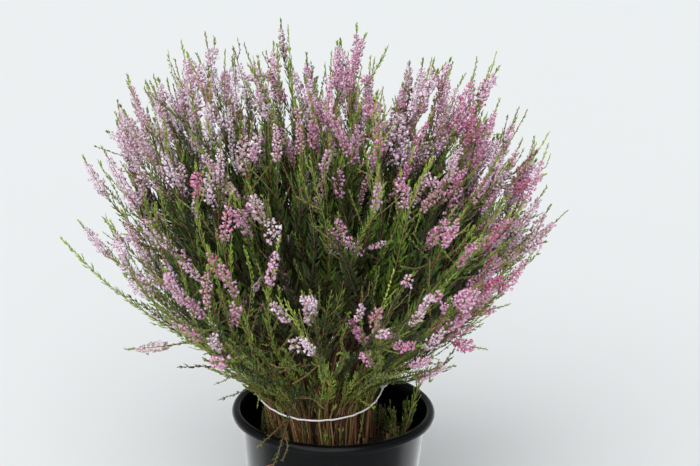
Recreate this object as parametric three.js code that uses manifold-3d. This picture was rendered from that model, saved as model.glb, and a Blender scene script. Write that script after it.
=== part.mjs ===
// A potted heath: a round plastic nursery pot filled with compost, from which a sheaf of woody
// stems rises through a white elastic tie and fans out into leafy stems and long flower heads.
// Millimetres, +Z up, origin at the centre of the pot's foot. The plant is seen from -Y.

import * as THREE from "three";
import { mergeVertices } from "three/addons/utils/BufferGeometryUtils.js";
import Module from "manifold-3d";

const wasm = await Module();
wasm.setup();

// Driving dimensions
const gap = 0.35;
const pot = {
  height: 150,
  rimRadius: 95,
  lipHeight: 143,
  crestRadius: 91,
  neckRadius: 86,
  neckHeight: 140,
  footRadius: 72.5,
  wall: 1.5,
  floor: 3,
  segments: 28,
};
const compost = { top: 113, holeDepth: 13 };
const tie = {
  centre: new THREE.Vector3(-14.4, 0, 171),
  radius: 59.6,
  cordRadius: 1.1,
  tilt: 11.5,
  segments: 30,
};
const clip = { bearing: -4, lean: 38, width: 6, height: 9, sheet: 1.4, bead: 2.5, bore: 1.8 };

// The sheaf of stems. Above the tie every stem heads away from the focus of the fan. Angles are
// in degrees off upright, distances are from the focus, and shares are of a stem's reach.
const focus = new THREE.Vector3(-12, 0, 127);
const sheaf = {
  footX: -10,
  footSpread: 0.86,
  radiusAtTie: 54.5,
  polarAtTie: 50,
  outerPolar: 40,
  lowestPolar: 50.5,
  widestCell: 12,
  forkAboveTie: 24,
  nearestFork: 84,
  bareAboveFork: 30,
  greenShare: 0.65,
};
const bow = { angle: 5, from: 50, length: 290 };

// The bush's outline as it is seen from the front, from a place a little above it. A row is
// degrees off upright in that view and the longest reach from the focus there.
const view = { pitch: 15.85, distance: 1227 };
const outline = [
  [35, 400],
  [40, 316],
  [45, 294],
  [50, 252],
  [55, 180],
  [60, 126],
  [66, 98],
  [90, 90],
];

// The shoots. Pitch is from ring to ring, core and spread are the radii of the inner and the
// drawn-out corners, and lean is how far those reach towards the tip.
const stem = { rootRadius: 2.6, taper: 0.2, endRadius: 1.5, foot: 2, straight: 24 };
const twin = { radius: 1.6, offset: 9 };
const leafyShoot = { pitch: 17, core: 1.6, spread: 10, lean: 8 };
const branch = {
  count: 3,
  pitch: 18,
  core: 1.5,
  spread: 10,
  lean: 8,
  leafyShare: 0.64,
  endShare: 0.84,
  cellShare: 0.74,
};
const skirt = { reach: 140, angle: 9, rings: 3 };
const raceme = {
  pitch: 10,
  core: 3,
  spread: 7,
  lean: 0,
  pinch: 0.6,
  stalk: 16,
  shortest: 44,
  stalkRadius: 1.5,
  laterals: 3,
  endShare: 0.97,
  cellShare: 0.72,
};

// The stems: degrees each leans to the right, degrees it leans to the front, and its reach from
// the focus. The row that leans neither way gives the plant its outline seen from the front.
const stems = [
  [-45, 2, 296],
  [-34, -4, 356],
  [-20, 3, 386],
  [-6, -3, 382],
  [5, 4, 378],
  [21, -3, 374],
  [35, 4, 342],
  [45, -4, 306],
  [-39, 21, 304],
  [-24, 19, 346],
  [-8, 21, 352],
  [9, 19, 348],
  [25, 21, 344],
  [39, 20, 296],
  [-41, -23, 318],
  [-20, -22, 352],
  [1, -21, 358],
  [21, -23, 350],
  [41, -22, 306],
  [-26, 40, 288],
  [0, 42, 276],
  [25, 41, 284],
  [-22, -38, 300],
  [23, -37, 296],
];

const colour = {
  pot: { color: 0x1b1c1e, roughness: 0.42, metalness: 0 },
  compost: { color: 0x2a1d14, roughness: 0.95, metalness: 0 },
  tie: { color: 0xe9e9e4, roughness: 0.6, metalness: 0 },
  leaf: { color: 0x4c7a2b, roughness: 0.7, metalness: 0 },
  flower: { color: 0xd58fc0, roughness: 0.7, metalness: 0 },
};

const radians = THREE.MathUtils.degToRad;
const up = new THREE.Vector3(0, 0, 1);

// A repeatable draw between 0 and 1 for a stem and a purpose.
function draw(seed, purpose) {
  const wave = Math.sin(seed * 127.1 + purpose * 311.7) * 43758.5453;
  return wave - Math.floor(wave);
}

function spread(seed, purpose, amount) {
  return (draw(seed, purpose) * 2 - 1) * amount;
}

// Solids and geometries

function solidOf(geometry) {
  const bare = geometry.clone();
  bare.deleteAttribute("normal");
  bare.deleteAttribute("uv");
  const merged = mergeVertices(bare, 1e-4);
  return new wasm.Manifold(
    new wasm.Mesh({
      numProp: 3,
      vertProperties: new Float32Array(merged.attributes.position.array),
      triVerts: new Uint32Array(merged.index.array),
    }),
  );
}

function geometryOf(solid) {
  const mesh = solid.getMesh();
  const geometry = new THREE.BufferGeometry();
  geometry.setAttribute("position", new THREE.BufferAttribute(mesh.vertProperties, 3));
  geometry.setIndex(new THREE.BufferAttribute(mesh.triVerts, 1));
  geometry.computeVertexNormals();
  return geometry;
}

// One body from several that cross. Pockets closed in between them are filled.
function fuse(geometries) {
  const bodies = wasm.Manifold.union(geometries.map(solidOf)).decompose();
  return wasm.Manifold.compose(bodies.filter((body) => body.volume() > 0));
}

function meshOf(name, geometry, look) {
  const mesh = new THREE.Mesh(geometry, new THREE.MeshStandardMaterial(look));
  mesh.name = name;
  return mesh;
}

// A shoot along a curve, one ring of corners at each station. A station gives its share of the
// curve, the core's radius, the radius of the corners that are drawn out there, and how far
// those lean towards the tip. Leafy shoots have four corners and draw out an opposite pair at a
// time, crossed from one ring to the next, and each quad is split between its inner corners.
// Flower spikes have three corners, all drawn out and turned half a step from ring to ring.
function shoot(curve, stations, corners = 4) {
  const positions = [];
  const faces = [];
  const whorled = corners === 3;
  const lowest = curve.getPointAt(stations[0].at);
  const sideways = new THREE.Vector3().crossVectors(up, curve.getTangentAt(1));
  if (sideways.lengthSq() < 1e-6) sideways.set(1, 0, 0);
  sideways.normalize();
  positions.push(lowest.x, lowest.y, lowest.z);
  stations.forEach((station, ring) => {
    const centre = curve.getPointAt(station.at);
    const tangent = curve.getTangentAt(station.at);
    const normal = sideways.clone().addScaledVector(tangent, -sideways.dot(tangent)).normalize();
    const binormal = new THREE.Vector3().crossVectors(tangent, normal);
    for (let corner = 0; corner < corners; corner++) {
      const angle = ((corner + (whorled ? ring / 2 : 0)) * 2 * Math.PI) / corners;
      const drawn = whorled || (corner + ring) % 2 === 0;
      const radius = drawn ? station.spread : station.core;
      const point = centre
        .clone()
        .addScaledVector(normal, Math.cos(angle) * radius)
        .addScaledVector(binormal, Math.sin(angle) * radius)
        .addScaledVector(tangent, drawn ? station.lean : 0);
      positions.push(point.x, point.y, point.z);
    }
  });
  const last = stations[stations.length - 1];
  const tip = curve.getPointAt(last.at).addScaledVector(curve.getTangentAt(last.at), last.tip ?? 0);
  positions.push(tip.x, tip.y, tip.z);
  const vertex = (ring, corner) => 1 + ring * corners + (corner % corners);
  const tipVertex = positions.length / 3 - 1;
  for (let corner = 0; corner < corners; corner++) {
    faces.push(0, vertex(0, corner + 1), vertex(0, corner));
    for (let ring = 0; ring < stations.length - 1; ring++) {
      const [a, b] = [vertex(ring, corner), vertex(ring, corner + 1)];
      const [c, d] = [vertex(ring + 1, corner + 1), vertex(ring + 1, corner)];
      if (whorled || (corner + ring) % 2 === 0) faces.push(a, b, d, b, c, d);
      else faces.push(a, b, c, a, c, d);
    }
    const rim = stations.length - 1;
    faces.push(tipVertex, vertex(rim, corner), vertex(rim, corner + 1));
  }
  const geometry = new THREE.BufferGeometry();
  geometry.setAttribute("position", new THREE.Float32BufferAttribute(positions, 3));
  geometry.setIndex(faces);
  return geometry;
}

function plain(at, radius) {
  return { at, core: radius, spread: radius, lean: 0 };
}

// Evenly spaced drawn-out rings between two shares of a curve, shorter towards both ends. A form
// with a pinch draws every second ring out less.
function drawnRings(from, to, count, form) {
  return Array.from({ length: count }, (_, i) => {
    const share = i / (count - 1);
    const size = Math.sin(Math.PI * (0.22 + 0.62 * share));
    const drawn = form.spread * size * (i % 2 ? form.pinch ?? 1 : 1);
    return {
      at: from + (to - from) * share,
      core: form.core * (0.6 + 0.4 * size),
      spread: Math.max(form.core, drawn),
      lean: form.lean * size,
      tip: 0.9 * form.lean + 2,
    };
  });
}

// The plant's layout

function direction(right, front) {
  return new THREE.Vector3(
    Math.sin(radians(right)) * Math.cos(radians(front)),
    -Math.sin(radians(front)),
    Math.cos(radians(right)) * Math.cos(radians(front)),
  );
}

const axes = stems.map(([right, front]) => direction(right, front));
const tieNormal = up.clone().applyAxisAngle(new THREE.Vector3(1, 0, 0), radians(tie.tilt));

function isOuter(index) {
  return axes[index].z < Math.cos(radians(sheaf.outerPolar));
}

// The unit vector square to a stem's axis at a bearing round it, counted from its level side.
function sideOf(axis, bearing) {
  const level = new THREE.Vector3().crossVectors(up, axis).normalize();
  const upward = new THREE.Vector3().crossVectors(axis, level);
  return level.multiplyScalar(Math.cos(bearing)).addScaledVector(upward, Math.sin(bearing));
}

// How far, in radians, a stem's growth may lean from its axis before it is nearer to another
// stem's axis, or hangs below the bush.
function cellReach(index, side) {
  const axis = axes[index];
  let reach = radians(sheaf.widestCell);
  axes.forEach((other, j) => {
    const across = other.dot(side);
    if (j !== index && across > 0) reach = Math.min(reach, Math.atan2(1 - axis.dot(other), across));
  });
  const sinks = -side.z;
  if (sinks > 0) {
    const room = radians(sheaf.lowestPolar) - Math.acos(axis.z);
    reach = Math.min(reach, Math.max(room, 0.02) / sinks);
  }
  return reach;
}

// The stems bow outwards in their middle and turn up towards their tips. A heading leans out by
// an angle that rises and falls as a sine of the distance from the focus.
function bowed(heading, distance) {
  const wave = Math.sin((Math.PI * (distance - bow.from)) / bow.length);
  const flat = Math.hypot(heading.x, heading.y);
  const polar = Math.atan2(flat, heading.z) + radians(bow.angle) * wave * flat;
  const scale = flat > 0 ? Math.sin(polar) / flat : 0;
  return new THREE.Vector3(heading.x * scale, heading.y * scale, Math.cos(polar));
}

// A point of a stem's cell, at a distance from the focus and an angle off the axis towards side.
function cellPoint(index, distance, side, angle) {
  const heading = axes[index].clone().multiplyScalar(Math.cos(angle));
  heading.addScaledVector(side, Math.sin(angle));
  return focus.clone().addScaledVector(bowed(heading, distance), distance);
}

// Where a stem passes the tie, with a sideways offset along the circle. The outer stems all
// press against the tie.
function tiePoint(index, offset) {
  const axis = axes[index];
  const flat = Math.hypot(axis.x, axis.y);
  const inner = (sheaf.radiusAtTie * flat) / axis.z / Math.tan(radians(sheaf.polarAtTie));
  const radius = isOuter(index) ? sheaf.radiusAtTie : inner;
  const turn = Math.atan2(axis.y, axis.x) + offset / Math.max(radius, 10);
  return new THREE.Vector3(Math.cos(turn) * radius, Math.sin(turn) * radius, 0)
    .applyAxisAngle(new THREE.Vector3(1, 0, 0), radians(tie.tilt))
    .add(tie.centre);
}

function rootCurve(index, offset, rest) {
  const crossing = tiePoint(index, offset);
  const root = new THREE.Vector3(
    sheaf.footX + (crossing.x - tie.centre.x) * sheaf.footSpread,
    (crossing.y - tie.centre.y) * sheaf.footSpread,
    compost.top - compost.holeDepth + gap,
  );
  const soilLine = root.clone().setZ(compost.top + 6);
  return new THREE.CatmullRomCurve3([root, soilLine, crossing, ...rest], false, "centripetal");
}

function axisPoint(index, distance) {
  return focus.clone().addScaledVector(bowed(axes[index], distance), distance);
}

// The distance from the focus at which a stem forks, above the plane of the tie.
function forkDistance(index) {
  const toPlane = tie.centre.clone().sub(focus).dot(tieNormal) / axes[index].dot(tieNormal);
  return Math.max(sheaf.nearestFork, toPlane + sheaf.forkAboveTie);
}

// How far along its curve a rooted stem meets the tie.
function tieLength(curve) {
  const [root, soilLine, crossing] = curve.points;
  return root.distanceTo(soilLine) + soilLine.distanceTo(crossing) + 1;
}

function mainCurve(index) {
  const fork = forkDistance(index);
  const ends = [fork, fork + sheaf.bareAboveFork, stems[index][2] * sheaf.greenShare];
  return rootCurve(index, 0, ends.map((distance) => axisPoint(index, distance)));
}

// A leafy stem: the woody main stem, drawn out into short shoots above, and side branches in
// three sectors of the stem's cell.
function leafyStem(index) {
  const main = mainCurve(index);
  const length = main.getLength();
  const leafyFrom = forkDistance(index) + sheaf.bareAboveFork;
  const leafyLength = stems[index][2] * sheaf.greenShare - leafyFrom;
  const bends = [stem.foot, stem.straight, tieLength(main), 0.8 * (length - leafyLength)];
  const rings = Math.round(leafyLength / leafyShoot.pitch);
  const woody = bends.map((along, i) => plain(along / length, stem.rootRadius - i * stem.taper));
  const leafy = drawnRings(1 - leafyLength / length, 1 - 4 / length, rings, leafyShoot);
  const pieces = [shoot(main, [...woody, ...leafy, plain(1, stem.endRadius)])];
  for (let k = 0; k < branch.count; k++) pieces.push(sideBranch(index, k));
  if (isOuter(index)) pieces.push(skirtBranch(index));
  return fuse(pieces);
}

function branchCurve(index, side, from, to, angle) {
  return new THREE.QuadraticBezierCurve3(
    axisPoint(index, from),
    cellPoint(index, from + (to - from) * 0.3, side, angle * 0.95),
    cellPoint(index, to, side, angle),
  );
}

// The bearing of one of the equal sectors of a stem's cell, or of the line between two of them.
function sectorBearing(index, k, half) {
  const sector = (2 * Math.PI) / branch.count;
  return draw(index, 1) * 2 * Math.PI + (k + half) * sector + spread(index, 10 + k, 0.12);
}

// The angle at which a shoot of the given form leans from the axis and stays inside the cell.
function leanWithin(index, side, distance, form) {
  const reach = cellReach(index, side);
  const clear = reach - (form.spread + 2) / distance;
  return Math.max(0.03, Math.min(reach * form.cellShare, clear));
}

// The longest reach at a bearing off upright in the front view, between the outline's rows.
function longestAt(bearing) {
  const next = outline.findIndex(([degrees]) => degrees > bearing);
  if (next <= 0) return next < 0 ? outline[outline.length - 1][1] : outline[0][1];
  const [[near, before], [far, after]] = [outline[next - 1], outline[next]];
  return before + ((after - before) * (bearing - near)) / (far - near);
}

// The part of a shoot's reach that stays inside the outline, for an angle off its stem's axis.
function keptReach(index, side, angle, reach) {
  const heading = axes[index].clone().multiplyScalar(Math.cos(angle));
  heading.addScaledVector(side, Math.sin(angle));
  const [cos, sin] = [Math.cos(radians(view.pitch)), Math.sin(radians(view.pitch))];
  let kept = reach;
  for (let pass = 0; pass < 3; pass++) {
    const tip = bowed(heading, kept).multiplyScalar(kept);
    const height = tip.y * sin + tip.z * cos;
    const nearer = view.distance / (view.distance + tip.y * cos - tip.z * sin);
    const bearing = THREE.MathUtils.radToDeg(Math.atan2(Math.abs(tip.x), height));
    const seen = Math.hypot(tip.x, height) * nearer;
    kept *= Math.min(1, longestAt(bearing) / seen);
  }
  return kept;
}

function sideBranch(index, k) {
  const fork = sideBranchCurve(index, k);
  const leafyLength = branch.leafyShare * fork.getLength();
  const rings = Math.round(leafyLength / branch.pitch);
  const rooted = k === 0 && isOuter(index);
  const curve = rooted ? rootedBranchCurve(index) : fork;
  const length = curve.getLength();
  const bends = rooted ? [stem.foot, stem.straight, tieLength(curve), length - fork.getLength()] : [0];
  const woody = bends.map((along) => plain(along / length, rooted ? twin.radius : branch.core));
  return shoot(curve, [
    ...woody,
    ...drawnRings(1 - leafyLength / length, 1 - 5 / length, rings, branch),
  ]);
}

function sideBranchCurve(index, k) {
  const side = sideOf(axes[index], sectorBearing(index, k, 0.5));
  const from = forkDistance(index) + 2 + 6 * k;
  const full = stems[index][2] * (branch.endShare - 0.05 * k + spread(index, 20 + k, 0.03));
  const angle = leanWithin(index, side, full, branch);
  return branchCurve(index, side, from, keptReach(index, side, angle, full), angle);
}

// The first branch of an outer stem runs on down past the fork to a root of its own.
function rootedBranchCurve(index) {
  const fork = sideBranchCurve(index, 0);
  const offset = index % 2 ? twin.offset : -twin.offset;
  return rootCurve(index, offset, [0, 0.35, 0.7, 1].map((share) => fork.getPoint(share)));
}

// Low outer stems carry one more branch, which hangs out over the rim of the pot.
function skirtBranch(index) {
  const side = sideOf(axes[index], -Math.PI / 2 + spread(index, 30, 0.3));
  const from = forkDistance(index) + 1;
  const angle = radians(skirt.angle + spread(index, 32, 2.5));
  const to = keptReach(index, side, angle, skirt.reach + spread(index, 31, 12));
  const curve = branchCurve(index, side, from, to, angle);
  return shoot(curve, [plain(0, branch.core), ...drawnRings(0.2, 0.93, skirt.rings, branch)]);
}

// A flower head: the stem's upper end and its laterals, each a core covered in florets.
function flowerHead(index) {
  const reach = stems[index][2];
  const foot = reach * sheaf.greenShare + gap;
  const leader = [foot, (foot + reach) / 2, reach].map((distance) => axisPoint(index, distance));
  const pieces = [floretSpike(new THREE.CatmullRomCurve3(leader), raceme.stalk)];
  for (let k = 0; k < raceme.laterals; k++) {
    const side = sideOf(axes[index], sectorBearing(index, k, 0));
    const from = foot + 3 + 2 * k;
    const full = reach * (raceme.endShare - 0.05 * k + spread(index, 40 + k, 0.04));
    const angle = leanWithin(index, side, full, raceme);
    const to = Math.max(keptReach(index, side, angle, full), from + raceme.shortest);
    pieces.push(floretSpike(branchCurve(index, side, from, to, angle), 1.6 * raceme.stalk));
  }
  return fuse(pieces);
}

function floretSpike(curve, stalk) {
  const length = curve.getLength();
  const rings = Math.round((length - stalk) / raceme.pitch);
  const florets = drawnRings(stalk / length, 1 - 4 / length, rings, raceme);
  return shoot(curve, [plain(0, raceme.stalkRadius), ...florets], 3);
}

// The pot, its filling and the tie

function potGeometry() {
  const p = pot;
  const slope = (p.neckRadius - p.footRadius) / p.neckHeight;
  const outline = [
    [0, 0],
    [p.footRadius - 1.5, 0],
    [p.footRadius + slope * 1.5, 1.5],
    [p.neckRadius, p.neckHeight],
    [p.neckRadius + 2, p.neckHeight + 4.5],
    [p.crestRadius, p.height - p.wall],
    [p.rimRadius - p.wall - 0.6, p.height - 4],
    [p.rimRadius - p.wall, p.lipHeight],
    [p.rimRadius, p.lipHeight],
    [p.rimRadius, p.height - 4],
    [p.rimRadius - 2, p.height - 1.2],
    [p.crestRadius, p.height],
    [p.crestRadius - 4, p.height - 2.2],
    [p.neckRadius - p.wall + 0.6, p.neckHeight + 2],
    [p.footRadius - p.wall + slope * p.floor, p.floor],
    [0, p.floor],
  ];
  const points = outline.map(([radius, height]) => new THREE.Vector2(radius, height));
  return new THREE.LatheGeometry(points, p.segments).rotateX(Math.PI / 2);
}

function compostSolid() {
  const slope = (pot.neckRadius - pot.footRadius) / pot.neckHeight;
  const radiusAt = (height) => pot.footRadius - pot.wall - 2 * gap + slope * height;
  const bottom = pot.floor + gap;
  const points = [
    [0, bottom],
    [radiusAt(bottom), bottom],
    [radiusAt(compost.top - 3), compost.top - 3],
    [radiusAt(compost.top) - 6, compost.top],
    [0, compost.top],
  ].map(([radius, height]) => new THREE.Vector2(radius, height));
  const body = solidOf(new THREE.LatheGeometry(points, 20).rotateX(Math.PI / 2));
  const holes = stems.map((_, index) => holeFor(mainCurve(index), stem.rootRadius));
  stems.forEach((_, index) => {
    if (isOuter(index)) holes.push(holeFor(rootedBranchCurve(index), twin.radius));
  });
  holes.push(holeFor(sprigCurve, sprig.radius));
  return body.subtract(wasm.Manifold.union(holes)).simplify(0.02);
}

// A shaft round the foot of a stem, with the same four corners as the stem.
function holeFor(curve, radius) {
  const wide = radius + gap * 1.5;
  return solidOf(shoot(curve, [plain(0, wide), plain(stem.straight / curve.getLength(), wide)]));
}

// A short sprig of its own, inside the pot beside the sheaf.
const sprig = { radius: 1.2, leaves: 4, florets: 4 };
const sprigCurve = new THREE.CatmullRomCurve3([
  new THREE.Vector3(64, -8, compost.top - compost.holeDepth + gap),
  new THREE.Vector3(66, -8, 122),
  new THREE.Vector3(72, -7, 145),
  new THREE.Vector3(79, -4, 173),
]);

function sprigLeaves() {
  const form = { core: 1.1, spread: 6.5, lean: 5 };
  const length = sprigCurve.getLength();
  return shoot(sprigCurve, [
    plain(stem.foot / length, sprig.radius),
    plain(stem.straight / length, sprig.radius),
    ...drawnRings(0.62, 0.93, sprig.leaves, form),
    plain(1, 1),
  ]);
}

function sprigFlowers() {
  const form = { core: 2, spread: 4.8, lean: 0 };
  const foot = sprigCurve.getPointAt(1).addScaledVector(sprigCurve.getTangentAt(1), gap);
  const curve = new THREE.LineCurve3(foot, new THREE.Vector3(81.5, -3, 186));
  return shoot(curve, [plain(0, 1), ...drawnRings(0.15, 0.9, sprig.florets, form)], 3);
}

function tieGeometry() {
  return new THREE.TorusGeometry(tie.radius, tie.cordRadius, 5, tie.segments)
    .rotateX(radians(tie.tilt))
    .translate(tie.centre.x, tie.centre.y, tie.centre.z);
}

// A small flag with a bead at its foot, through which the cord runs.
function clipSolid() {
  const { bead, width, height, sheet } = clip;
  const foot = new THREE.BoxGeometry(bead * 2, width, bead * 2);
  const flag = new THREE.BoxGeometry(sheet, width, height);
  flag.translate(bead - sheet / 2, 0, height / 2);
  const bore = new THREE.CylinderGeometry(clip.bore, clip.bore, 2 * width, 6);
  const place = new THREE.Matrix4()
    .makeTranslation(tie.centre.x, tie.centre.y, tie.centre.z)
    .multiply(new THREE.Matrix4().makeRotationX(radians(tie.tilt)))
    .multiply(new THREE.Matrix4().makeRotationZ(radians(clip.bearing)))
    .multiply(new THREE.Matrix4().makeTranslation(tie.radius, 0, 0))
    .multiply(new THREE.Matrix4().makeRotationY(radians(clip.lean)));
  const body = fuse([foot.applyMatrix4(place), flag.applyMatrix4(place)]);
  return body.subtract(solidOf(bore.applyMatrix4(place)));
}

// The assembly

const heath = new THREE.Group();
heath.add(meshOf("pot", potGeometry(), colour.pot));
heath.add(meshOf("compost", geometryOf(compostSolid()), colour.compost));
heath.add(meshOf("tie_band", tieGeometry(), colour.tie));
heath.add(meshOf("tie_clip", geometryOf(clipSolid()), colour.tie));
stems.forEach((_, index) => {
  const number = String(index + 1).padStart(2, "0");
  heath.add(meshOf(`leafy_stem_${number}`, geometryOf(leafyStem(index)), colour.leaf));
  heath.add(meshOf(`flower_head_${number}`, geometryOf(flowerHead(index)), colour.flower));
});
heath.add(meshOf("sprig_leaves", sprigLeaves(), colour.leaf));
heath.add(meshOf("sprig_flowers", sprigFlowers(), colour.flower));

export default heath;
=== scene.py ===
import math

import bpy
import numpy as np
from mathutils import Matrix, Vector


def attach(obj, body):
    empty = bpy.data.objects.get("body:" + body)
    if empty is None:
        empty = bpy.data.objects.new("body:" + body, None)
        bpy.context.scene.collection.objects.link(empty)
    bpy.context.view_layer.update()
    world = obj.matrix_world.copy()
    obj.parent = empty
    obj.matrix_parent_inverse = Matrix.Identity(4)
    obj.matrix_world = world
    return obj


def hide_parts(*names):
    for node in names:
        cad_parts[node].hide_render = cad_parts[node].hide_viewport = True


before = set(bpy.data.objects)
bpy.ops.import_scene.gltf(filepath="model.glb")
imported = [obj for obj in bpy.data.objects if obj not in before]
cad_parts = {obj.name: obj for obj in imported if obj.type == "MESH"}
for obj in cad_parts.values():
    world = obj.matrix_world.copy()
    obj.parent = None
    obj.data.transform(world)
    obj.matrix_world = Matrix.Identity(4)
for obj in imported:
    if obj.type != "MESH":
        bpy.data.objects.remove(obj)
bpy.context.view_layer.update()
print("frame:", len(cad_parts), "solids")

millimetre = 0.001
fullTurn = 2 * math.pi
goldenAngle = math.radians(137.508)
worldUp = np.array([0.0, 0.0, 1.0])


# Camera and light

cameraSettings = {
    "location": (0.0, -1.13036, 0.63830),
    "lens": 66.86,
    "sensor": 36.0,
    "yaw": 0.010770,
    "pitch": 0.276565,
    "roll": 0.020098,
}


def makeCamera(settings):
    yaw, pitch, roll = settings["yaw"], settings["pitch"], settings["roll"]
    ahead = Vector((math.sin(yaw) * math.cos(pitch), math.cos(yaw) * math.cos(pitch),
                    -math.sin(pitch)))
    level = Vector((math.cos(yaw), -math.sin(yaw), 0))
    above = level.cross(ahead)
    right = math.cos(roll) * level + math.sin(roll) * above
    upward = math.cos(roll) * above - math.sin(roll) * level
    data = bpy.data.cameras.new("camera")
    data.lens, data.sensor_width = settings["lens"], settings["sensor"]
    camera = bpy.data.objects.new("camera", data)
    camera.location = settings["location"]
    camera.rotation_euler = Matrix((right, upward, -ahead)).transposed().to_euler()
    bpy.context.collection.objects.link(camera)
    bpy.context.scene.camera = camera


lightSettings = {
    "skyColour": (0.95, 0.98, 1.0, 1.0),
    "skyStrength": 0.42,
    "cards": [  # name, place and watts of two cards of light that lie on the floor
        ("left_card", (-0.26, 0.15, 0.004), 0.38),
        ("right_card", (0.26, 0.15, 0.004), 0.46),
    ],
    "cardSize": (0.30, 0.34),
    "cardColour": (0.97, 0.99, 1.0),
    "sun": (-0.25, -1.0, 0.8),  # where the soft front light comes from
    "sunStrength": 3.05,
    "sunSpread": 74,  # degrees across
}


def makeLights(settings):
    world = bpy.data.worlds.new("studio")
    world.use_nodes = True
    sky = world.node_tree.nodes["Background"]
    sky.inputs["Color"].default_value = settings["skyColour"]
    sky.inputs["Strength"].default_value = settings["skyStrength"]
    bpy.context.scene.world = world
    for name, place, watts in settings["cards"]:
        data = bpy.data.lights.new(name, "AREA")
        data.shape, data.energy, data.color = "RECTANGLE", watts, settings["cardColour"]
        data.size, data.size_y = settings["cardSize"]
        card = placeLamp(data, place, Vector((0, 0, 1)))
        card.visible_diffuse = False  # the cards only shine in the pot's sides
    data = bpy.data.lights.new("soft_front", "SUN")
    data.energy, data.angle = settings["sunStrength"], math.radians(settings["sunSpread"])
    placeLamp(data, settings["sun"], -Vector(settings["sun"]))
    bpy.context.scene.view_settings.view_transform = "Standard"


def placeLamp(data, place, aim):
    lamp = bpy.data.objects.new(data.name, data)
    lamp.location = place
    lamp.rotation_euler = aim.to_track_quat("-Z", "Y").to_euler()
    bpy.context.collection.objects.link(lamp)
    return lamp


makeCamera(cameraSettings)
makeLights(lightSettings)
print("camera and lights: done")


# Shader maths

class Wire:
    # An output socket. Sums, differences and products of wires and numbers add their Math nodes.
    def __init__(self, tree, socket):
        self.tree, self.socket = tree, socket

    def node(self, kind, settings, sockets, output=0):
        return addNode(self.tree, kind, settings, sockets, output)

    def maths(self, operation, first, second):
        return self.node("ShaderNodeMath", {"operation": operation}, {0: first, 1: second})

    def __add__(self, other):
        return self.maths("ADD", self, other)

    def __sub__(self, other):
        return self.maths("SUBTRACT", self, other)

    def __rsub__(self, other):
        return self.maths("SUBTRACT", other, self)

    def __mul__(self, other):
        return self.maths("MULTIPLY", self, other)

    __radd__ = __add__
    __rmul__ = __mul__


def addNode(tree, kind, settings, sockets, output=0):
    node = tree.nodes.new(kind)
    for key, value in settings.items():
        if key == "stops":
            ramp = node.color_ramp
            while len(ramp.elements) < len(value):
                ramp.elements.new(0.5)
            for element, (place, colour) in zip(ramp.elements, value):
                element.position, element.color = place, (*colour, 1.0)
        else:
            setattr(node, key, value)
    for key, value in sockets.items():
        if isinstance(value, Wire):
            tree.links.new(value.socket, node.inputs[key])
        else:
            node.inputs[key].default_value = value
    return Wire(tree, node.outputs[output])


def makeMaterial(name, paint, look):
    # A Principled material. The paint function gives the values and links of its sockets.
    material = bpy.data.materials.new(name)
    material.use_nodes = True
    tree = material.node_tree
    tree.nodes.clear()
    surface = addNode(tree, "ShaderNodeBsdfPrincipled", {}, paint(tree, look))
    output = tree.nodes.new("ShaderNodeOutputMaterial")
    tree.links.new(surface.socket, output.inputs["Surface"])
    return material


def objectCoordinates(tree):
    return addNode(tree, "ShaderNodeTexCoord", {}, {}, "Object")


def stretched(tree, vector, scale):
    return addNode(tree, "ShaderNodeMapping", {}, {"Vector": vector, "Scale": scale})


def attributeWire(tree, name):
    return addNode(tree, "ShaderNodeAttribute", {"attribute_name": name}, {}, "Fac")


def noiseWire(tree, vector, scale, detail=2.0, roughness=0.5):
    sockets = {"Vector": vector, "Scale": scale, "Detail": detail, "Roughness": roughness}
    return addNode(tree, "ShaderNodeTexNoise", {}, sockets, "Fac")


def rampWire(tree, factor, stops):
    return addNode(tree, "ShaderNodeValToRGB", {"stops": stops}, {"Fac": factor}, "Color")


def mixColours(tree, factor, first, second):
    # The Mix node's colour sockets are its inputs 6 and 7 and its output 2.
    settings = {"data_type": "RGBA", "clamp_factor": True}
    return addNode(tree, "ShaderNodeMix", settings, {0: factor, 6: first, 7: second}, 2)


def spreadWire(tree, value, low, high):
    # Stretches a value so that low becomes 0 and high becomes 1, and clamps it.
    sockets = {"Value": value, "From Min": low, "From Max": high}
    return addNode(tree, "ShaderNodeMapRange", {"clamp": True}, sockets, "Result")


def bumpWire(tree, height, distance, strength):
    sockets = {"Height": height, "Distance": distance, "Strength": strength}
    return addNode(tree, "ShaderNodeBump", {}, sockets, "Normal")


# In the looks, a noise is its scale, detail and roughness, a bump its depth in metres and its
# strength, a range the values that become 0 and 1, and a gain what a part adds to the whole.

foliageLook = {
    # Deep leaves, darkened by painted shade, take the darkest stops.
    "stops": [
        (0.0, (0.008, 0.010, 0.004)),
        (0.30, (0.036, 0.068, 0.011)),
        (0.6, (0.150, 0.270, 0.028)),
        (0.85, (0.330, 0.470, 0.052)),
        (1.0, (0.480, 0.540, 0.120)),
    ],
    "russet": (0.080, 0.040, 0.017, 1.0),
    "tipGain": 0.30,
    "patches": (38.0,),
    "patchGain": 0.30,
    "grain": (900.0,),
    "grainGain": 0.35,
    "wear": (70.0, 3.0),
    "wearRange": (0.60, 0.72),
    "wearGain": 0.6,
    "roughness": 0.52,
    "bump": (0.0004, 0.6),
}


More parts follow.
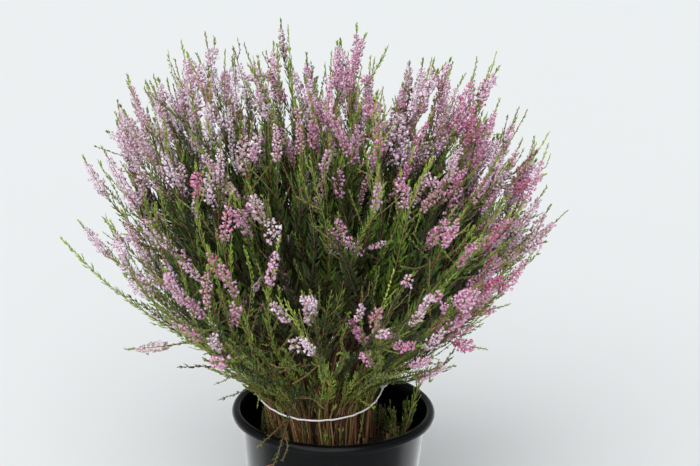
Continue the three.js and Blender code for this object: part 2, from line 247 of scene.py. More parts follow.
def foliagePaint(tree, look):
    place = objectCoordinates(tree)
    tip = attributeWire(tree, "tip")
    patches = noiseWire(tree, place, *look["patches"])
    grain = noiseWire(tree, place, *look["grain"])
    value = attributeWire(tree, "tone") + (tip - 0.5) * look["tipGain"]
    value = value + (patches - 0.5) * look["patchGain"] + (grain - 0.5) * look["grainGain"]
    green = rampWire(tree, value, look["stops"])
    wear = spreadWire(tree, noiseWire(tree, place, *look["wear"]), *look["wearRange"])
    worn = wear * (1 - tip) * look["wearGain"] + attributeWire(tree, "age")
    return {
        "Base Color": mixColours(tree, worn, green, look["russet"]),
        "Roughness": look["roughness"] + (grain - 0.5) * 0.2,
        "Specular IOR Level": 0.35,
        "Normal": bumpWire(tree, grain, *look["bump"]),
    }


flowerLook = {
    "stops": [
        (0.0, (0.94, 0.79, 0.89)),
        (0.3, (0.89, 0.54, 0.74)),
        (0.65, (0.82, 0.26, 0.46)),
        (1.0, (0.45, 0.07, 0.18)),
    ],
    "throat": (0.33, 0.085, 0.17, 1.0),
    "throatRange": (0.5, 0.15),
    "throatGain": 0.42,
    "faded": (0.50, 0.38, 0.27, 1.0),
    "grain": (700.0,),
    "grainGain": 0.30,
    "tipGain": 0.12,
    "roughness": 0.62,
    "bump": (0.0004, 0.5),
}


def flowerPaint(tree, look):
    place = objectCoordinates(tree)
    tip = attributeWire(tree, "tip")
    grain = noiseWire(tree, place, *look["grain"])
    value = attributeWire(tree, "tone") + (grain - 0.5) * look["grainGain"]
    petal = rampWire(tree, value + (0.6 - tip) * look["tipGain"], look["stops"])
    throat = spreadWire(tree, tip, *look["throatRange"]) * look["throatGain"]
    fresh = mixColours(tree, throat, petal, look["throat"])
    return {
        "Base Color": mixColours(tree, attributeWire(tree, "age"), fresh, look["faded"]),
        "Roughness": look["roughness"] + (grain - 0.5) * 0.2,
        "Specular IOR Level": 0.3,
        "Normal": bumpWire(tree, grain, *look["bump"]),
    }


woodLook = {
    "stops": [
        (0.0, (0.045, 0.026, 0.018)),
        (0.30, (0.190, 0.082, 0.042)),
        (0.6, (0.400, 0.200, 0.105)),
        (1.0, (0.330, 0.300, 0.095)),
    ],
    "stretch": (1.0, 1.0, 0.18),
    "fibre": (1400.0, 4.0, 0.6),
    "fibreGain": 0.45,
    "patches": (60.0, 3.0),
    "patchGain": 0.4,
    "roughness": 0.68,
    "bump": (0.0006, 0.8),
}


def woodPaint(tree, look):
    place = objectCoordinates(tree)
    fibre = noiseWire(tree, stretched(tree, place, look["stretch"]), *look["fibre"])
    patches = noiseWire(tree, place, *look["patches"])
    value = attributeWire(tree, "tone") + (fibre - 0.5) * look["fibreGain"]
    value = value + (patches - 0.5) * look["patchGain"]
    return {
        "Base Color": rampWire(tree, value, look["stops"]),
        "Roughness": look["roughness"] + (fibre - 0.5) * 0.2,
        "Specular IOR Level": 0.3,
        "Normal": bumpWire(tree, fibre, *look["bump"]),
    }


potLook = {
    "base": (0.0020, 0.0022, 0.0025, 1.0),
    "scuff": (0.022, 0.023, 0.025, 1.0),
    "stretch": (0.35, 0.35, 3.0),
    "streaks": (120.0, 5.0, 0.65),
    "grain": (1800.0,),
    "dust": (45.0, 6.0, 0.7),
    "dustRange": (0.56, 0.74),
    "roughness": 0.25,
    "bump": (0.00025, 0.35),
}


def potPaint(tree, look):
    place = objectCoordinates(tree)
    streaks = noiseWire(tree, stretched(tree, place, look["stretch"]), *look["streaks"])
    grain = noiseWire(tree, place, *look["grain"])
    dust = spreadWire(tree, noiseWire(tree, place, *look["dust"]), *look["dustRange"])
    return {
        "Base Color": mixColours(tree, dust * 0.25, look["base"], look["scuff"]),
        "Roughness": look["roughness"] + dust * 0.14 + (streaks - 0.5) * 0.12,
        "Specular IOR Level": 0.13,
        "Normal": bumpWire(tree, streaks * 0.6 + grain * 0.4, *look["bump"]),
    }


compostLook = {
    "stops": [
        (0.0, (0.010, 0.006, 0.004)),
        (0.5, (0.034, 0.020, 0.012)),
        (0.8, (0.085, 0.050, 0.028)),
        (1.0, (0.160, 0.105, 0.060)),
    ],
    "clods": (140.0, 5.0, 0.65),
    "clodGain": 0.9,
    "fibres": (900.0, 4.0, 0.6),
    "fibreGain": 0.5,
    "bump": (0.0025, 1.0),
}


def compostPaint(tree, look):
    place = objectCoordinates(tree)
    clods = noiseWire(tree, place, *look["clods"])
    fibres = noiseWire(tree, place, *look["fibres"])
    value = attributeWire(tree, "tone") + (clods - 0.5) * look["clodGain"]
    value = value + (fibres - 0.5) * look["fibreGain"]
    return {
        "Base Color": rampWire(tree, value, look["stops"]),
        "Roughness": 0.9,
        "Specular IOR Level": 0.2,
        "Normal": bumpWire(tree, clods + fibres * 0.5, *look["bump"]),
    }


elasticLook = {
    "thread": (0.96, 0.96, 0.95, 1.0),
    "groove": (0.82, 0.81, 0.79, 1.0),
    "bump": (0.0003, 0.8),
}


def elasticPaint(tree, look):
    # The braid follows the band: its own UV map has turns of thread along U and round V.
    place = addNode(tree, "ShaderNodeUVMap", {"uv_map": "braid"}, {})
    waves = {"wave_type": "BANDS", "bands_direction": "DIAGONAL", "wave_profile": "SIN"}
    over, under = (
        addNode(tree, "ShaderNodeTexWave", waves, {"Vector": vector, "Scale": 0.5}, "Fac")
        for vector in (place, stretched(tree, place, (1.0, -1.0, 1.0)))
    )
    threads = over * under
    return {
        "Base Color": mixColours(tree, threads, look["groove"], look["thread"]),
        "Roughness": 0.72,
        "Normal": bumpWire(tree, threads, *look["bump"]),
    }


tagLook = {
    "plastic": (0.80, 0.81, 0.82, 1.0),
    "soil": (0.52, 0.49, 0.42, 1.0),
    "grain": (1200.0,),
    "stains": (260.0, 3.0),
    "stainRange": (0.55, 0.75),
    "bump": (0.0001, 0.4),
}


def tagPaint(tree, look):
    place = objectCoordinates(tree)
    grain = noiseWire(tree, place, *look["grain"])
    stains = spreadWire(tree, noiseWire(tree, place, *look["stains"]), *look["stainRange"])
    return {
        "Base Color": mixColours(tree, stains * 0.3, look["plastic"], look["soil"]),
        "Roughness": 0.42 + stains * 0.2,
        "Normal": bumpWire(tree, grain, *look["bump"]),
    }


floorLook = {
    "darker": (0.84, 0.86, 0.865, 1.0),
    "lighter": (0.85, 0.87, 0.875, 1.0),
    "patches": (1.2,),
}


def floorPaint(tree, look):
    patches = noiseWire(tree, objectCoordinates(tree), *look["patches"])
    return {
        "Base Color": mixColours(tree, patches, look["darker"], look["lighter"]),
        "Roughness": 0.9,
        "Specular IOR Level": 0.0,
    }


looks = {
    "foliage": makeMaterial("ling_foliage", foliagePaint, foliageLook),
    "flower": makeMaterial("ling_florets", flowerPaint, flowerLook),
    "wood": makeMaterial("ling_bark", woodPaint, woodLook),
    "pot": makeMaterial("moulded_black_plastic", potPaint, potLook),
    "compost": makeMaterial("peat_compost", compostPaint, compostLook),
    "elastic": makeMaterial("braided_elastic", elasticPaint, elasticLook),
    "tag": makeMaterial("white_tag_plastic", tagPaint, tagLook),
    "floor": makeMaterial("studio_floor", floorPaint, floorLook),
}
print("materials:", len(looks))


# Meshes from whole arrays

def unit(vectors):
    return vectors / np.maximum(np.linalg.norm(vectors, axis=-1, keepdims=True), 1e-9)


def polarPoints(turn, radius, height):
    # Points round the upright axis: radius times cosine and sine of the turn, and the height.
    return np.stack(np.broadcast_arrays(radius * np.cos(turn), radius * np.sin(turn), height), -1)


def rotation(axis, angle):
    # The matrix that turns points about axis number 0, 1 or 2.
    first, second = (axis + 1) % 3, (axis + 2) % 3
    matrix = np.eye(3)
    matrix[first, first] = matrix[second, second] = math.cos(angle)
    matrix[second, first], matrix[first, second] = math.sin(angle), -math.sin(angle)
    return matrix


def joinParts(parts):
    # Several (vertices, triangles, attributes) as one.
    points, triangles, shift = [], [], 0
    for vertices, faces, _ in parts:
        points.append(vertices.reshape(-1, 3))
        triangles.append(faces.reshape(-1, 3) + shift)
        shift += len(points[-1])
    keys = parts[0][2].keys()
    attributes = {key: np.concatenate([part[2][key].ravel() for part in parts]) for key in keys}
    return np.concatenate(points), np.concatenate(triangles), attributes


def meshObject(name, vertices, triangles, attributes, material, smooth):
    mesh = bpy.data.meshes.new(name)
    mesh.vertices.add(len(vertices))
    mesh.vertices.foreach_set("co", (vertices * millimetre).astype(np.float32).ravel())
    mesh.loops.add(triangles.size)
    mesh.loops.foreach_set("vertex_index", triangles.astype(np.int32).ravel())
    mesh.polygons.add(len(triangles))
    mesh.polygons.foreach_set("loop_start", np.arange(0, triangles.size, 3, dtype=np.int32))
    mesh.polygons.foreach_set("use_smooth", np.full(len(triangles), smooth))
    for key, values in attributes.items():
        layer = mesh.attributes.new(key, "FLOAT", "POINT")
        layer.data.foreach_set("value", values.astype(np.float32).ravel())
    mesh.update(calc_edges=True)
    mesh.validate()
    mesh.materials.append(material)
    piece = bpy.data.objects.new(name, mesh)
    bpy.context.collection.objects.link(piece)
    return piece


def addPiece(name, parts, look, replaced=(), smooth=True):
    vertices, triangles, attributes = joinParts(parts)
    piece = meshObject(name, vertices, triangles, attributes, looks[look], smooth)
    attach(piece, "root")
    if replaced:
        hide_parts(*replaced)
    print(f"{name}: {len(triangles)} triangles")
    return piece


def ringFaces(rings, corners, crossed):
    # Triangles of one closed shape of rings of corners between two poles, with the first pole's
    # vertex first and the other pole's last. Crossed shapes split each quad between the corners
    # that aren't drawn out.
    ring, corner = np.meshgrid(np.arange(rings - 1), np.arange(corners), indexing="ij")
    following = (corner + 1) % corners
    a, b = 1 + ring * corners + corner, 1 + ring * corners + following
    c, d = b + corners, a + corners
    flip = (corner + ring) % 2 == 0 if crossed else np.ones_like(ring, bool)
    first = np.stack([a, b, np.where(flip, d, c)], -1)
    second = np.stack([np.where(flip, b, a), c, d], -1)
    around = np.arange(corners)
    onward = (around + 1) % corners
    foot = np.stack([np.zeros_like(around), 1 + onward, 1 + around], -1)
    last = 1 + (rings - 1) * corners
    head = np.stack([np.full_like(around, rings * corners + 1), last + around, last + onward], -1)
    return np.concatenate([foot, first.reshape(-1, 3), second.reshape(-1, 3), head])


def ringShapes(path, normal, radii, lean, poles, crossed):
    # Shapes carried along paths. path is (shapes, rings, 3), normal (shapes, 3), radii and lean
    # (shapes, rings, corners). A point is the path's plus the radius times the normal turned round
    # the path, plus the lean along it. poles is how far the two end points lie beyond the rings.
    count, rings, corners = radii.shape
    tangent = unit(np.gradient(path, axis=1))
    side = normal[:, None] - tangent * np.sum(normal[:, None] * tangent, -1, keepdims=True)
    side = unit(side)
    other = np.cross(tangent, side)
    angle = np.arange(corners) * fullTurn / corners
    around = side[:, :, None] * np.cos(angle)[:, None] + other[:, :, None] * np.sin(angle)[:, None]
    points = path[:, :, None] + around * radii[..., None] + tangent[:, :, None] * lean[..., None]
    foot = path[:, :1] - tangent[:, :1] * poles[0][:, None, None]
    head = path[:, -1:] + tangent[:, -1:] * poles[1][:, None, None]
    vertices = np.concatenate([foot, points.reshape(count, -1, 3), head], axis=1)
    faces = ringFaces(rings, corners, crossed)
    offsets = np.arange(count)[:, None, None] * vertices.shape[1]
    return vertices, faces[None] + offsets


def perVertex(values, corners):
    # Ring values (shapes, rings) handed to the corners and the two poles.
    spread = np.repeat(values, corners, axis=1)
    return np.concatenate([values[:, :1], spread, values[:, -1:]], axis=1)


def perShape(values, count, vertices):
    # One value for each shape handed to all its vertices.
    return np.repeat(np.broadcast_to(values, count)[:, None], vertices, axis=1)


# The plant's layout, by the same rule as the solids

sheaf = {
    "focus": np.array([-12.0, 0.0, 127.0]),
    "tieCentre": np.array([-14.4, 0.0, 171.0]),
    "tieTilt": math.radians(11.5),
    "footX": -10.0,
    "footSpread": 0.86,
    "radiusAtTie": 54.5,
    "polarAtTie": math.radians(50),
    "outerPolar": math.radians(40),
    "lowestPolar": math.radians(50.5),
    "widestCell": math.radians(12),
    "forkAboveTie": 24.0,
    "nearestFork": 84.0,
    # Above deepAbove, stems deep in the bush get painted shade, and deep leaves are longer and
    # coarser.
    "deepAbove": 215.0,  # growth deep in the bush looks different above this height
    "greenShare": 0.65,
    "bowAngle": math.radians(5),
    "bowFrom": 50.0,
    "bowLength": 290.0,
    "soilTop": 113.0,
    "rootHeight": 100.35,
}

# The solids' stems: degrees right, degrees to the front, reach from the focus
stemTable = np.array([
    [-45, 2, 296], [-34, -4, 356], [-20, 3, 386], [-6, -3, 382], [5, 4, 378], [21, -3, 374],
    [35, 4, 342], [45, -4, 306], [-39, 21, 304], [-24, 19, 346], [-8, 21, 352], [9, 19, 348],
    [25, 21, 344], [39, 20, 296], [-41, -23, 318], [-20, -22, 352], [1, -21, 358], [21, -23, 350],
    [41, -22, 306], [-26, 40, 288], [0, 42, 276], [25, 41, 284], [-22, -38, 300], [23, -37, 296],
], float)

# The outline seen from the front: degrees off upright and the longest reach from the focus there
frontView = {
    "pitch": math.radians(15.85),
    "distance": 1227.0,
    "bearing": [35, 40, 45, 50, 55, 60, 66, 90],
    "longest": [400, 316, 294, 252, 180, 126, 98, 90],
}

# Leaders whose tips make the outline seen from the front, in the same terms as the stems
outlineTable = np.array([
    [-51, 1, 303], [-40, -2, 338], [-36, 2, 335], [-33, -2, 346], [-28, 1, 376], [-25, -1, 366],
    [-23, 2, 360], [-21, -1, 372], [-16, 1, 388], [-10, -2, 357], [-7, 2, 368], [-5, -1, 381],
    [2, 1, 369], [4, -1, 382], [7, 2, 358], [12, -2, 349], [15, 1, 366], [18, -1, 367],
    [21, 2, 365], [23, -1, 376], [26, 1, 355], [30, -2, 355], [31, 2, 335], [34, -1, 337],
    [39, 1, 313], [42, -2, 303], [45, 2, 308], [46, -1, 266], [46, 3, 232], [47, -3, 206],
    [48, 2, 186], [50, -2, 166], [51, 1, 148], [-44, -3, 287], [-46, 2, 256], [-47, -2, 229],
    [-48, 3, 202], [-49, -1, 170], [-50, 2, 146], [-51, -2, 124], [50, 3, 132],
], float)

zones = {
    "left": [0, 1, 8, 14],
    "crown": [2, 3, 4, 5],
    "right": [6, 7, 13, 18],
    "front": [9, 10, 11, 12, 19, 20, 21],
    "back": [15, 16, 17, 22, 23],
}


def draw(seed, purpose):
    # A repeatable number from 0 to 1 for a stem and a purpose.
    wave = np.sin(seed * 127.1 + purpose * 311.7) * 43758.5453
    return wave - np.floor(wave)


def spreadDraw(seed, purpose, amount):
    return (draw(seed, purpose) * 2 - 1) * amount


def directionOf(table):
    right, front = np.radians(table[:, 0]), np.radians(table[:, 1])
    level = np.cos(front)
    return np.stack([np.sin(right) * level, -np.sin(front), np.cos(right) * level], -1)


axes = directionOf(stemTable)
stemReach = stemTable[:, 2]
tilted = rotation(0, sheaf["tieTilt"])
tieNormal = tilted @ worldUp


def sideOf(axis, bearing):
    level = unit(np.cross(worldUp, axis))
    upward = np.cross(axis, level)
    return level * np.cos(bearing)[:, None] + upward * np.sin(bearing)[:, None]


def cellReach(index, side):
    # The angle at which a stem's growth comes nearer to another stem's axis than to its own.
    across = side @ axes.T
    apart = 1 - axes[index] @ axes.T
    meets = np.where((across > 0) & (apart > 1e-6), np.arctan2(apart, across), 9.0)
    reach = np.minimum(sheaf["widestCell"], meets.min(1))
    room = np.maximum(sheaf["lowestPolar"] - np.arccos(axes[index][:, 2]), 0.02)
    sinks = np.maximum(-side[:, 2], 1e-6)
    return np.where(side[:, 2] < 0, np.minimum(reach, room / sinks), reach)


def leaned(axis, side, angle):
    return axis * np.cos(angle)[..., None] + side * np.sin(angle)[..., None]


def bowed(heading, distance):
    # A heading leaned out by an angle that rises and falls as a sine of the distance.
    wave = np.sin(math.pi * (distance - sheaf["bowFrom"]) / sheaf["bowLength"])
    flat = np.hypot(heading[..., 0], heading[..., 1])
    polar = np.arctan2(flat, heading[..., 2]) + sheaf["bowAngle"] * wave * flat
    scale = np.sin(polar) / np.maximum(flat, 1e-6)
    return np.stack([heading[..., 0] * scale, heading[..., 1] * scale, np.cos(polar)], -1)


def placeAt(heading, distance):
    return sheaf["focus"] + bowed(heading, distance) * distance[..., None]


def forkDistance(heading):
    toPlane = (sheaf["tieCentre"] - sheaf["focus"]) @ tieNormal / (heading @ tieNormal)
    return np.maximum(sheaf["nearestFork"], toPlane + sheaf["forkAboveTie"])


def crossingAt(heading, inward, turned):
    # Where a stem passes inside the tie. The outer stems press against it.
    flat = np.hypot(heading[:, 0], heading[:, 1])
    share = flat / heading[:, 2] / math.tan(sheaf["polarAtTie"])
    outer = heading[:, 2] < math.cos(sheaf["outerPolar"])
    radius = sheaf["radiusAtTie"] * np.where(outer, 1.0, share) - inward
    turn = np.arctan2(heading[:, 1], heading[:, 0]) + turned / np.maximum(radius, 10)
    return polarPoints(turn, radius, 0.0) @ tilted.T + sheaf["tieCentre"]


def rootOf(crossing):
    root = np.empty_like(crossing)
    root[:, 0] = sheaf["footX"] + (crossing[:, 0] - sheaf["tieCentre"][0]) * sheaf["footSpread"]
    root[:, 1] = crossing[:, 1] * sheaf["footSpread"]
    root[:, 2] = sheaf["rootHeight"]
    return root


# The kinds of shoot. Those before twig are leaders, and filler and later ones are loose.

mainStem, sideBranch, lateral, hanging, filler, outlineTip, twig, thinStem, lowShoot = range(9)

# The solids' side branches and flowering laterals, three of each on a stem. Their reach is a share
# of the stem's, and share and clear keep each inside the stem's own cell.
branchRules = {
    sideBranch: {"turn": fullTurn / 6, "reach": 0.84, "spread": 0.03, "purpose": 20,
                 "share": 0.74, "clear": 12},
    lateral: {"turn": 0.0, "reach": 0.97, "spread": 0.04, "purpose": 40,
              "share": 0.72, "clear": 9},
}

# Leaders: the long shoots of the plant, each with its cell, start, heading and reach

leaderSettings = {
    "seed": 11,
    "filling": 10,  # leaders to a stem's cell
    "frontFilling": 6,
    "fillNear": 0.30,
    "fillFar": 1.0,
    "shortest": 0.80,
    "hangReach": 140,  # of the shoots that hang low on the outer stems
    "hangAngle": 9,
    "shortLateral": 48,  # no flowering lateral is shorter
    "wander": 12.0,
    "outlineWander": 0.35,  # of that, for the leaders that make the outline
    "astray": 30.0,  # how far a filling leader's tip strays from its heading
    "otherAstray": 0.22,  # of that, for the solids' own kinds
    "inward": 9,  # how far inside the tie's circle they pass
    "outside": 1.05,  # leaders and twigs that stand out further than this are left out
    "stations": 30,
    "kept": 48,
}
random = np.random.default_rng(leaderSettings["seed"])


def leaderSet(stem, start, startHeading, heading, reach, rooted, kind):
    return {
        "stem": stem, "start": start, "from": startHeading, "to": heading, "reach": reach,
        "rooted": np.full(len(stem), rooted), "kind": np.full(len(stem), kind),
    }


def looseSet(kind, stem, path, heading, tone):
    # Twigs, thin stems and low shoots, which come as finished paths.
    count, along = len(path), pathLengths(path)
    return {
        "stem": stem, "start": np.zeros(count), "to": heading, "reach": along[:, -1],
        "rooted": np.zeros(count, bool), "kind": np.full(count, kind), "path": path,
        "along": along, "tone": tone,
    }


def joinSets(sets):
    return {key: np.concatenate([part[key] for part in sets]) for key in sets[-1]}


def pick(rows, kept):
    return {key: values[kept] for key, values in rows.items()}


def nearestStem(heading):
    return np.argmax(heading @ axes.T, axis=1)


def fromFront(offset):
    # How far an offset runs to the right, up and away, seen from the front.
    x, y, z = np.moveaxis(offset, -1, 0)
    cosine, sine = math.cos(frontView["pitch"]), math.sin(frontView["pitch"])
    return x, y * sine + z * cosine, y * cosine - z * sine


def seenPlace(place):
    # A place seen from the front: its bearing off upright and its reach from the focus.
    x, height, away = fromFront(place - sheaf["focus"])
    distance = frontView["distance"]
    return np.degrees(np.arctan2(x, height)), np.hypot(x, height) * distance / (distance + away)


def outlineShare(place):
    # How far out a place is seen from the front: 1 is on the bush's outline.
    bearing, seen = seenPlace(place)
    return seen / np.interp(np.abs(bearing), frontView["bearing"], frontView["longest"])


def tipShare(place):
    # The same against the tips that make the outline, the lone first one left out.
    tips = outlineTable[1:]
    tipBearing, tipReach = seenPlace(placeAt(directionOf(tips), tips[:, 2]))
    order = np.argsort(tipBearing)
    bearing, seen = seenPlace(place)
    return seen / np.interp(bearing, tipBearing[order], tipReach[order])


def keptReach(heading, reach):
    # The part of a leader's reach that stays inside the outline.
    for _ in range(3):
        reach = reach / np.maximum(1, outlineShare(placeAt(heading, reach)))
    return reach


def layLeaders(settings):
    index = np.arange(len(stemTable))
    bearing = draw(index, 1) * fullTurn
    fork = forkDistance(axes)
    sets = [leaderSet(index, fork, axes, axes, stemReach, True, mainStem)]
    for k in range(3):
        third = bearing + k * fullTurn / 3 + spreadDraw(index, 10 + k, 0.12)
        for kind, rule in branchRules.items():
            side = sideOf(axes, third + rule["turn"])
            stray = spreadDraw(index, rule["purpose"] + k, rule["spread"])
            reach = stemReach * (rule["reach"] - 0.05 * k + stray)
            room = cellReach(index, side)
            angle = np.minimum(room * rule["share"], room - rule["clear"] / reach)
            heading = leaned(axes, side, np.maximum(0.03, angle))
            if kind == sideBranch:
                start, reach = fork + 2 + 6 * k, keptReach(heading, reach * 1.03)
            else:
                start = stemReach * (sheaf["greenShare"] - 0.12) + 2 * k
                reach = np.maximum(keptReach(heading, reach), start + settings["shortLateral"])
            sets.append(leaderSet(index, start, axes, heading, reach, False, kind))
    outer = index[axes[:, 2] < math.cos(sheaf["outerPolar"])]
    side = sideOf(axes[outer], -math.pi / 2 + spreadDraw(outer, 30, 0.3))
    angle = np.radians(settings["hangAngle"] + spreadDraw(outer, 32, 2.5))
    heading = leaned(axes[outer], side, angle)
    reach = keptReach(heading, settings["hangReach"] + spreadDraw(outer, 31, 12))
    sets.append(leaderSet(outer, fork[outer] + 1, axes[outer], heading, reach, False, hanging))
    # Leaders that fill each cell are spread over it by the golden angle.
    front = np.isin(index, zones["front"])
    filling = np.where(front, settings["frontFilling"], settings["filling"])
    stem = np.repeat(index, filling)
    k = np.arange(len(stem)) - np.repeat(np.cumsum(filling) - filling, filling)
    side = sideOf(axes[stem], draw(stem, 2) * fullTurn + k * goldenAngle)
    share = np.sqrt((k + 0.6) / filling[stem])
    share = settings["fillNear"] + (settings["fillFar"] - settings["fillNear"]) * share
    heading = unit(leaned(axes[stem], side, cellReach(stem, side) * share * 0.96))
    reach = stemReach[stem] * random.uniform(settings["shortest"], 1.02, len(stem))
    reach = keptReach(heading, reach * 1.05) * 0.95
    sets.append(leaderSet(stem, forkDistance(heading), heading, heading, reach, True, filler))
    heading = directionOf(outlineTable)
    sets.append(leaderSet(nearestStem(heading), forkDistance(heading), heading, heading,
                          outlineTable[:, 2] - 4, True, outlineTip))
    return joinSets(sets)


def leaderPaths(leaders, settings):
    # Past the fork a leader's heading swings from its parent's to its own as 1 - (1 - t)^2, the
    # distance grows evenly, and a slow wave across it grows towards the tip. A rooted leader runs
    # on down through the tie to the compost.
    count, kind = len(leaders["stem"]), leaders["kind"]
    onOutline = kind == outlineTip
    t = np.linspace(0, 1, settings["stations"])[None]
    distance = leaders["start"][:, None] + (leaders["reach"] - leaders["start"])[:, None] * t
    swing = (1 - (1 - t) ** 2)[..., None]
    heading = unit(leaders["from"][:, None] * (1 - swing) + leaders["to"][:, None] * swing)
    level = unit(np.cross(worldUp, leaders["to"]) + 1e-6)
    upward = np.cross(leaders["to"], level)
    phase = random.uniform(0, fullTurn, (count, 2, 1))
    length = random.uniform(130, 320, (count, 2, 1))
    amount = random.uniform(0.2, 1.0, (count, 2, 1)) * settings["wander"] * t[:, None]
    amount = amount * np.where(onOutline, settings["outlineWander"], 1.0)[:, None, None]
    sway = amount * np.sin(fullTurn * distance[:, None] / length + phase)
    astray = np.where(onOutline, 0.0, np.where(kind == filler, 1.0, settings["otherAstray"]))
    bend = random.normal(0, settings["astray"], (count, 2)) * astray[:, None]
    sway += bend[:, :, None] * t[:, None] ** 3
    upper = placeAt(heading, distance)
    upper += sway[:, 0, :, None] * level[:, None] + sway[:, 1, :, None] * upward[:, None]
    loose = kind >= filler
    inward = random.uniform(0, settings["inward"], count) * loose
    turned = random.uniform(-5, 5, count) * loose
    crossing = crossingAt(leaders["to"], inward, turned)
    root = rootOf(crossing)
    root[:, :2] += random.normal(0, 3.0, (count, 2)) * loose[:, None]
    soil = root.copy()
    soil[:, 2] = sheaf["soilTop"] + 6
    bent = soil * 0.5 + crossing * 0.5
    bent[:, :2] += random.normal(0, 1.1, (count, 2)) * loose[:, None]
    lower = np.stack([root, soil, bent, crossing], 1)
    lower = np.where(leaders["rooted"][:, None, None], lower, upper[:, :1])
    return smoothPaths(np.concatenate([lower, upper], 1), settings["kept"])


def smoothPaths(points, stations):
    # Points spaced evenly by length along paths whose corners are rounded twice by cutting.
    for _ in range(2):
        cut = np.stack([points[:, :-1] * 0.75 + points[:, 1:] * 0.25,
                        points[:, :-1] * 0.25 + points[:, 1:] * 0.75], 2)
        cut = cut.reshape(len(points), -1, 3)
        points = np.concatenate([points[:, :1], cut, points[:, -1:]], 1)
    step = np.linalg.norm(np.diff(points, axis=1), axis=-1)
    along = np.concatenate([np.zeros((len(points), 1)), np.cumsum(step + 1e-5, 1)], 1)
    row = np.repeat(np.arange(len(points)), stations)
    wanted = (along[:, -1:] * np.linspace(0, 1, stations)).ravel()
    return samplePaths(points, along, row, wanted)[0].reshape(len(points), stations, 3)


def pathLengths(paths):
    step = np.linalg.norm(np.diff(paths, axis=1), axis=-1)
    return np.concatenate([np.zeros((len(paths), 1)), np.cumsum(step, 1)], 1)


def samplePaths(paths, lengths, row, along):
    # The point and the direction of path number row at a length along it, for whole arrays.
    stations = paths.shape[1]
    apart = 10000.0
    keys = (lengths + np.arange(len(paths))[:, None] * apart).ravel()
    wanted = along + row * apart
    after = np.searchsorted(keys, wanted)
    after = np.clip(after, row * stations + 1, row * stations + stations - 1)
    span = keys[after] - keys[after - 1]
    share = np.clip((wanted - keys[after - 1]) / np.maximum(span, 1e-9), 0, 1)[:, None]
    flat = paths.reshape(-1, 3)
    point = flat[after - 1] * (1 - share) + flat[after] * share
    return point, unit(flat[after] - flat[after - 1])


def outwardAt(tangent, bearing):
    # The unit vector square to a direction at a bearing round it.
    level = unit(np.cross(tangent, np.array([0.13, 0.94, 0.31])))
    other = np.cross(tangent, level)
    return level * np.cos(bearing)[:, None] + other * np.sin(bearing)[:, None]


def ascending(base, tangent, outward, length, angle, curl, lift, t):
    # A path that leaves base at an angle off tangent towards outward, and curls back towards the
    # tangent and up as the square of t.
    out = np.sin(angle) * (t - 0.5 * curl * t ** 2)
    on = np.cos(angle) * t + 0.5 * curl * t ** 2
    return base[:, None] + length[:, None, None] * (
        outward[:, None] * out[..., None] + tangent[:, None] * on[..., None]
        + worldUp * (lift * t ** 2)[..., None]
    )


def insideOnly(shoots):
    # Drops the loose shoots that leave the outline seen from the front, or hang over the pot's rim.
    path, kind = shoots["path"], shoots["kind"]
    above = path[..., 2] > sheaf["focus"][2] + 36
    furthest = np.max(np.maximum(outlineShare(path), tipShare(path)) * above, axis=1)
    kept = furthest < leaderSettings["outside"]
    kept &= ~np.any((np.linalg.norm(path[..., :2], axis=-1) > 80) & (path[..., 2] < 168), axis=1)
    return pick(shoots, kept | (kind < filler) | (kind == outlineTip))


tagPlace = np.array([46.0, -4.0, 176.0])


def beforeTag(place, room):
    # Whether a place lies before the tie's tag, seen from the front, and less than room beside it.
    x, height, away = fromFront(place - tagPlace)
    return (np.hypot(x, height) < room) & (away < 0)


def clearOfTag(shoots):
    # Drops the loose shoots that would hide the tag.
    hidden = np.any(beforeTag(shoots["path"], 10), axis=1) & (shoots["kind"] >= filler)
    return pick(shoots, ~hidden)


leaders = layLeaders(leaderSettings)
leaders["path"] = leaderPaths(leaders, leaderSettings)
leaders["along"] = pathLengths(leaders["path"])
leaders = clearOfTag(insideOnly(leaders))
leaders["tone"] = random.normal(0, 1, len(leaders["stem"]))
zoneOf = np.empty(len(stemTable), int)
zoneNames = list(zones)
for number, name in enumerate(zoneNames):
    zoneOf[zones[name]] = number
print("leaders:", len(leaders["stem"]))

# Twigs: short side branches on the upper part of the leaders

twigSettings = {
    "seed": 17,
    "count": 4,
    "kept": 0.90,
    "zone": (10, 170),  # how far from the leader's tip they start
    "length": (22, 60),
    "angle": (22, 72),
    "curl": (-0.3, 1.3),
    "lift": 0.10,
    "bend": 0.05,
    "toneSpread": 0.35,
}


def layTwigs(settings):
    count = len(leaders["stem"])
    parent = np.repeat(np.arange(count), settings["count"])
    chance = random.uniform(0, 1, len(parent)) < settings["kept"]
    parent = parent[chance & (leaders["kind"][parent] != hanging)]
    count = len(parent)
    total = leaders["along"][parent, -1]
    free = leaders["reach"][parent] - leaders["start"][parent]
    nearest, furthest = settings["zone"]
    fromTip = (np.minimum(furthest, 0.75 * free) - nearest) * random.uniform(0, 1, count) ** 0.9
    fromTip += nearest
    base, tangent = samplePaths(leaders["path"], leaders["along"], parent, total - fromTip)
    outward = outwardAt(tangent, random.uniform(0, fullTurn, count))
    length = random.uniform(*settings["length"], count) * np.clip(fromTip / 70, 0.55, 1)
    angle = np.radians(random.uniform(*settings["angle"], count))[:, None]
    t = np.linspace(0, 1, leaderSettings["kept"])[None]
    curl = random.uniform(*settings["curl"], count)[:, None]
    path = ascending(base, tangent, outward, length, angle, curl, settings["lift"], t)
    bend = outwardAt(tangent, random.uniform(0, fullTurn, count))
    path += bend[:, None] * (np.sin(t * 3.1) * length[:, None] * settings["bend"])[..., None]
    tone = leaders["tone"][parent] + random.normal(0, settings["toneSpread"], count)
    return looseSet(twig, leaders["stem"][parent], path, leaders["to"][parent], tone)


# Thin stems round the outside of the sheaf, and low shoots inside the pot

